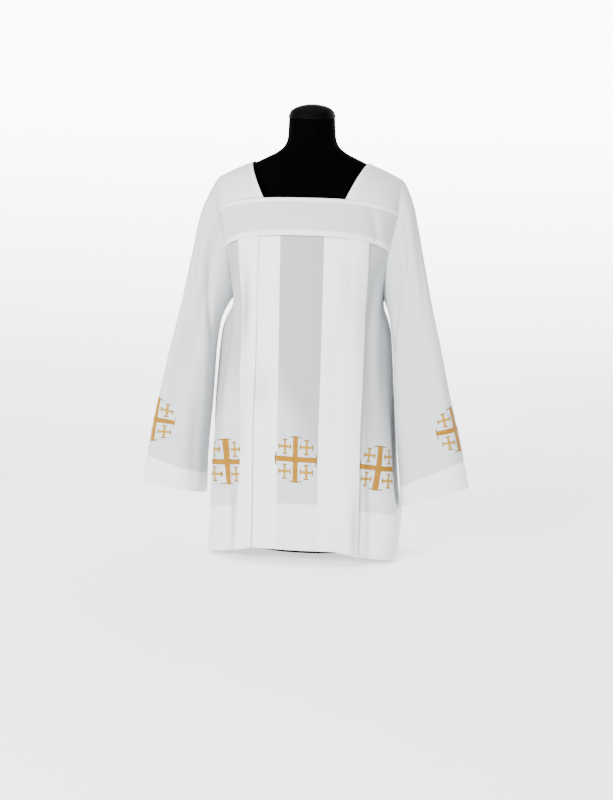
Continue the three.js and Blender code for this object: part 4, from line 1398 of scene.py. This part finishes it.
def gold_thread():
    """Satin stitch in strands: old gold along the middle and the edges of the bars and on the thin serifs."""
    material, tree, shader = start_material("gold thread")
    place = uv_place(tree, "thread")
    strands = group_outputs(tree, STRANDS, place)
    kind = mesh_value(tree, "kind")
    bars = mix_colour(tree, strands["Tone"], *BAR_GOLD)
    crosslets = mix_colour(tree, strands["Tone"], *CROSSLET_GOLD)
    aside = math_node(tree, "ABSOLUTE", split_place(tree, place)["Y"])
    bar_edge = ramp(tree, aside, 0.0038, 0.0056, 0.0, 0.55)
    bar_middle = ramp(tree, aside, 0.0004, 0.0012, 0.3, 0.0)
    striped = mix_colour(tree, math_node(tree, "ADD", bar_edge, bar_middle), bars, OLD_GOLD)
    crosslet_edge = ramp(tree, aside, 0.0012, 0.0026, 0.0, 0.45)
    edged = mix_colour(tree, crosslet_edge, crosslets, OLD_GOLD)
    filled = mix_colour(tree, kind, striped, edged)
    from_caps = math_node(tree, "ABSOLUTE", math_node(tree, "SUBTRACT", kind, CAP_KINDS_MIDDLE))
    gold = mix_colour(tree, ramp(tree, from_caps, 0.13, 0.36, 0.75, 0.0), filled, OLD_GOLD)
    # Painted shade: the colour is darkened in the gaps between the strands
    painted_strand_shade = ramp(tree, strands["Height"], 0.0, 0.6, 0.7, 1.0)
    set_inputs(tree, shader, {
        "Base Color": mix_colour(tree, 1.0, gold, painted_strand_shade, "MULTIPLY"),
        "Normal": bumps(tree, strands["Height"], 0.6, 0.0003),
        "Roughness": 0.42,
        "Specular IOR Level": 0.2,
    })
    return material


def sewing_thread():
    material, tree, shader = start_material("sewing thread")
    tone = mix_colour(tree, noise(tree, object_place(tree), 900.0), *THREAD_WHITE)
    set_inputs(tree, shader, {"Base Color": tone, "Roughness": 0.6})
    return material


def black_cover(name, dusty, roughness, specular):
    """A black knit cover or cap, a little lighter and rougher where dust lies."""
    material, tree, shader = start_material(name)
    knit = noise(tree, object_place(tree), 700.0)
    dust = noise(tree, object_place(tree), 9.0, 4.0)
    set_inputs(tree, shader, {
        "Base Color": mix_colour(tree, ramp(tree, dust, 0.35, 0.7, 0.0, 1.0), DEEP_BLACK, dusty),
        "Roughness": ramp(tree, dust, 0.3, 0.7, roughness - 0.06, roughness + 0.06),
        "Normal": bumps(tree, knit, 0.3, 0.0003),
        "Specular IOR Level": specular,
    })
    return material


CLOTH = white_cloth()
GOLD = gold_thread()
THREAD = sewing_thread()
FORM_BLACK = black_cover("black jersey", (0.0008, 0.0008, 0.0009, 1), 0.9, 0.01)
CAP_BLACK = black_cover("black cap", (0.001, 0.001, 0.0012, 1), 0.6, 0.03)


# Pieces
def finish_cloth(piece, node):
    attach(piece, "root")
    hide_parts(node)


form = form_body("dress_form", FORM_BLACK)
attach(form, "root")
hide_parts("form_torso")
cap = neck_cap("dress_form_cap", CAP_BLACK)
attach(cap, "root")
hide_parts("form_cap")

EMBLEMS = make_table(
    "name surface lean scale",
    ("emblem_front_middle", body_surface(FRONT, -3.5, 227.0), -0.9, 1.0),
    ("emblem_front_left", body_surface(FRONT, 199.0, 207.0), -9.0, 0.96),
    ("emblem_front_right", body_surface(FRONT, -192.5, 207.0), 7.5, 1.0),
    ("emblem_sleeve_left", sleeve_surface("left", 0.068, 0.803), 0.0, 0.98),
    ("emblem_sleeve_right", sleeve_surface("right", 0.12, 0.787), 3.0, 0.98),
)
emblems = [emblem(row["name"], row["surface"], row["lean"], row["scale"], GOLD) for row in EMBLEMS]
front_stitches = stitches("front_stitches", panel_hem_line(FRONT) + band_lines(FRONT), THREAD)
back_stitches = stitches("back_stitches", panel_hem_line(BACK) + band_lines(BACK), THREAD)
left_stitches = stitches("left_sleeve_stitches", sleeve_lines("left"), THREAD)
right_stitches = stitches("right_sleeve_stitches", sleeve_lines("right"), THREAD)
for piece in emblems:
    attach(piece, "root")
for piece in (front_stitches, back_stitches, left_stitches, right_stitches):
    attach(piece, "root")

front_cloth = panel("front_panel_cloth", FRONT, CLOTH)
back_cloth = panel("back_panel_cloth", BACK, CLOTH)
chest_band_cloth = band("chest_band_cloth", FRONT, CLOTH)
back_band_cloth = band("back_band_cloth", BACK, CLOTH)
shoulder_left_cloth = shoulder("shoulder_left_cloth", 1, CLOTH)
shoulder_right_cloth = shoulder("shoulder_right_cloth", -1, CLOTH)
sleeve_left_cloth = sleeve("sleeve_left_cloth", "left", CLOTH)
sleeve_right_cloth = sleeve("sleeve_right_cloth", "right", CLOTH)

finish_cloth(front_cloth, "front_panel")
finish_cloth(back_cloth, "back_panel")
finish_cloth(chest_band_cloth, "chest_band")
finish_cloth(back_band_cloth, "back_band")
finish_cloth(shoulder_left_cloth, "shoulder_left")
finish_cloth(shoulder_right_cloth, "shoulder_right")
finish_cloth(sleeve_left_cloth, "sleeve_left")
finish_cloth(sleeve_right_cloth, "sleeve_right")


# Room, light and camera
FLOOR_HALF = 6.0
WALL_GLOW = 9.0
WALL_START = 2.2
WALL_BEND = 1.6
GLOW_END = 1.4
FLOOR_GLOW = (0.12, 0.12, 0.12, 1)
WALL_GLOW_COLOUR = (1, 1, 1, 1)

# Every lamp: its place and aim in metres, its width, its power in watts and its colour
LIGHTS = make_table(
    "name place aim size power colour",
    ("key", (-1.7, -3.8, 1.9), (0, 0, 0.5), 1.1, 370, (1.0, 0.995, 0.985)),
    ("fill", (2.8, -2.6, 1.4), (0, 0, 0.5), 2.2, 30, (1.0, 0.985, 0.96)),
    ("top", (0, -0.5, 3.6), (0, -0.3, 0), 4.0, 110, (1, 1, 1)),
)
SKY_COLOUR = (0.95, 0.97, 1.0, 1)
SKY_STRENGTH = 0.42


def make_floor():
    """A pale floor that curves up into a wall behind."""
    material, tree, shader = start_material("pale floor")
    place = object_place(tree)
    tone = mix_colour(tree, noise(tree, place, 3.0), (0.93, 0.93, 0.93, 1), (0.95, 0.95, 0.95, 1))
    glow = ramp(tree, split_place(tree, place)["Z"], 0.0, GLOW_END, 0.0, 1.0)
    set_inputs(tree, shader, {
        "Base Color": tone,
        "Roughness": 0.95,
        "Specular IOR Level": 0.0,
        "Emission Color": mix_colour(tree, glow, FLOOR_GLOW, WALL_GLOW_COLOUR),
        "Emission Strength": WALL_GLOW,
    })
    bm = bmesh.new()
    bmesh.ops.create_grid(bm, x_segments=8, y_segments=160, size=FLOOR_HALF)
    for vert in bm.verts:
        back = vert.co.y - WALL_START
        turn = min(max(back / WALL_BEND, 0.0), math.pi / 2)
        if back > 0:
            rise = max(back - WALL_BEND * math.pi / 2, 0.0)
            vert.co.y = WALL_START + WALL_BEND * math.sin(turn)
            vert.co.z = WALL_BEND * (1 - math.cos(turn)) + rise
    for face in bm.faces:
        face.smooth = True
    floor = make_object("floor", bm, material)


def make_light(row):
    light = bpy.data.lights.new(row["name"], "AREA")
    light.shape = "RECTANGLE"
    light.size = row["size"]
    light.size_y = row["size"]
    light.energy = row["power"]
    light.color = row["colour"]
    lamp = bpy.data.objects.new(row["name"], light)
    bpy.context.scene.collection.objects.link(lamp)
    lamp.location = row["place"]
    lamp.rotation_euler = (Vector(row["aim"]) - Vector(row["place"])).to_track_quat("-Z", "Y").to_euler()


def make_lights():
    for row in LIGHTS:
        make_light(row)
    world = bpy.data.worlds.new("studio")
    bpy.context.scene.world = world
    world.use_nodes = True
    sky = world.node_tree.nodes["Background"]
    sky.inputs[0].default_value = SKY_COLOUR
    sky.inputs[1].default_value = SKY_STRENGTH


def make_camera():
    up_axis = Vector((0, 0, 1))
    away = Vector((-math.sin(CAMERA_AZIMUTH), math.cos(CAMERA_AZIMUTH), 0))
    level = Vector((math.cos(CAMERA_AZIMUTH), math.sin(CAMERA_AZIMUTH), 0))
    look = away * math.cos(CAMERA_PITCH) - up_axis * math.sin(CAMERA_PITCH)
    head = up_axis * math.cos(CAMERA_PITCH) + away * math.sin(CAMERA_PITCH)
    right = level * math.cos(CAMERA_ROLL) - head * math.sin(CAMERA_ROLL)
    up = head * math.cos(CAMERA_ROLL) + level * math.sin(CAMERA_ROLL)
    place = -away * CAMERA_DISTANCE * MM + up_axis * (CAMERA_HEIGHT + FOOT_LEVEL) * MM
    data = bpy.data.cameras.new("camera")
    data.sensor_fit = "VERTICAL"
    data.sensor_height = 24.0
    data.lens = CAMERA_FOCUS * data.sensor_height / PHOTO_HEIGHT
    camera = bpy.data.objects.new("camera", data)
    bpy.context.scene.collection.objects.link(camera)
    turn = Matrix((right, up, -look)).transposed().to_4x4()
    camera.matrix_world = Matrix.Translation(place) @ turn
    bpy.context.scene.camera = camera


make_floor()
make_lights()
make_camera()
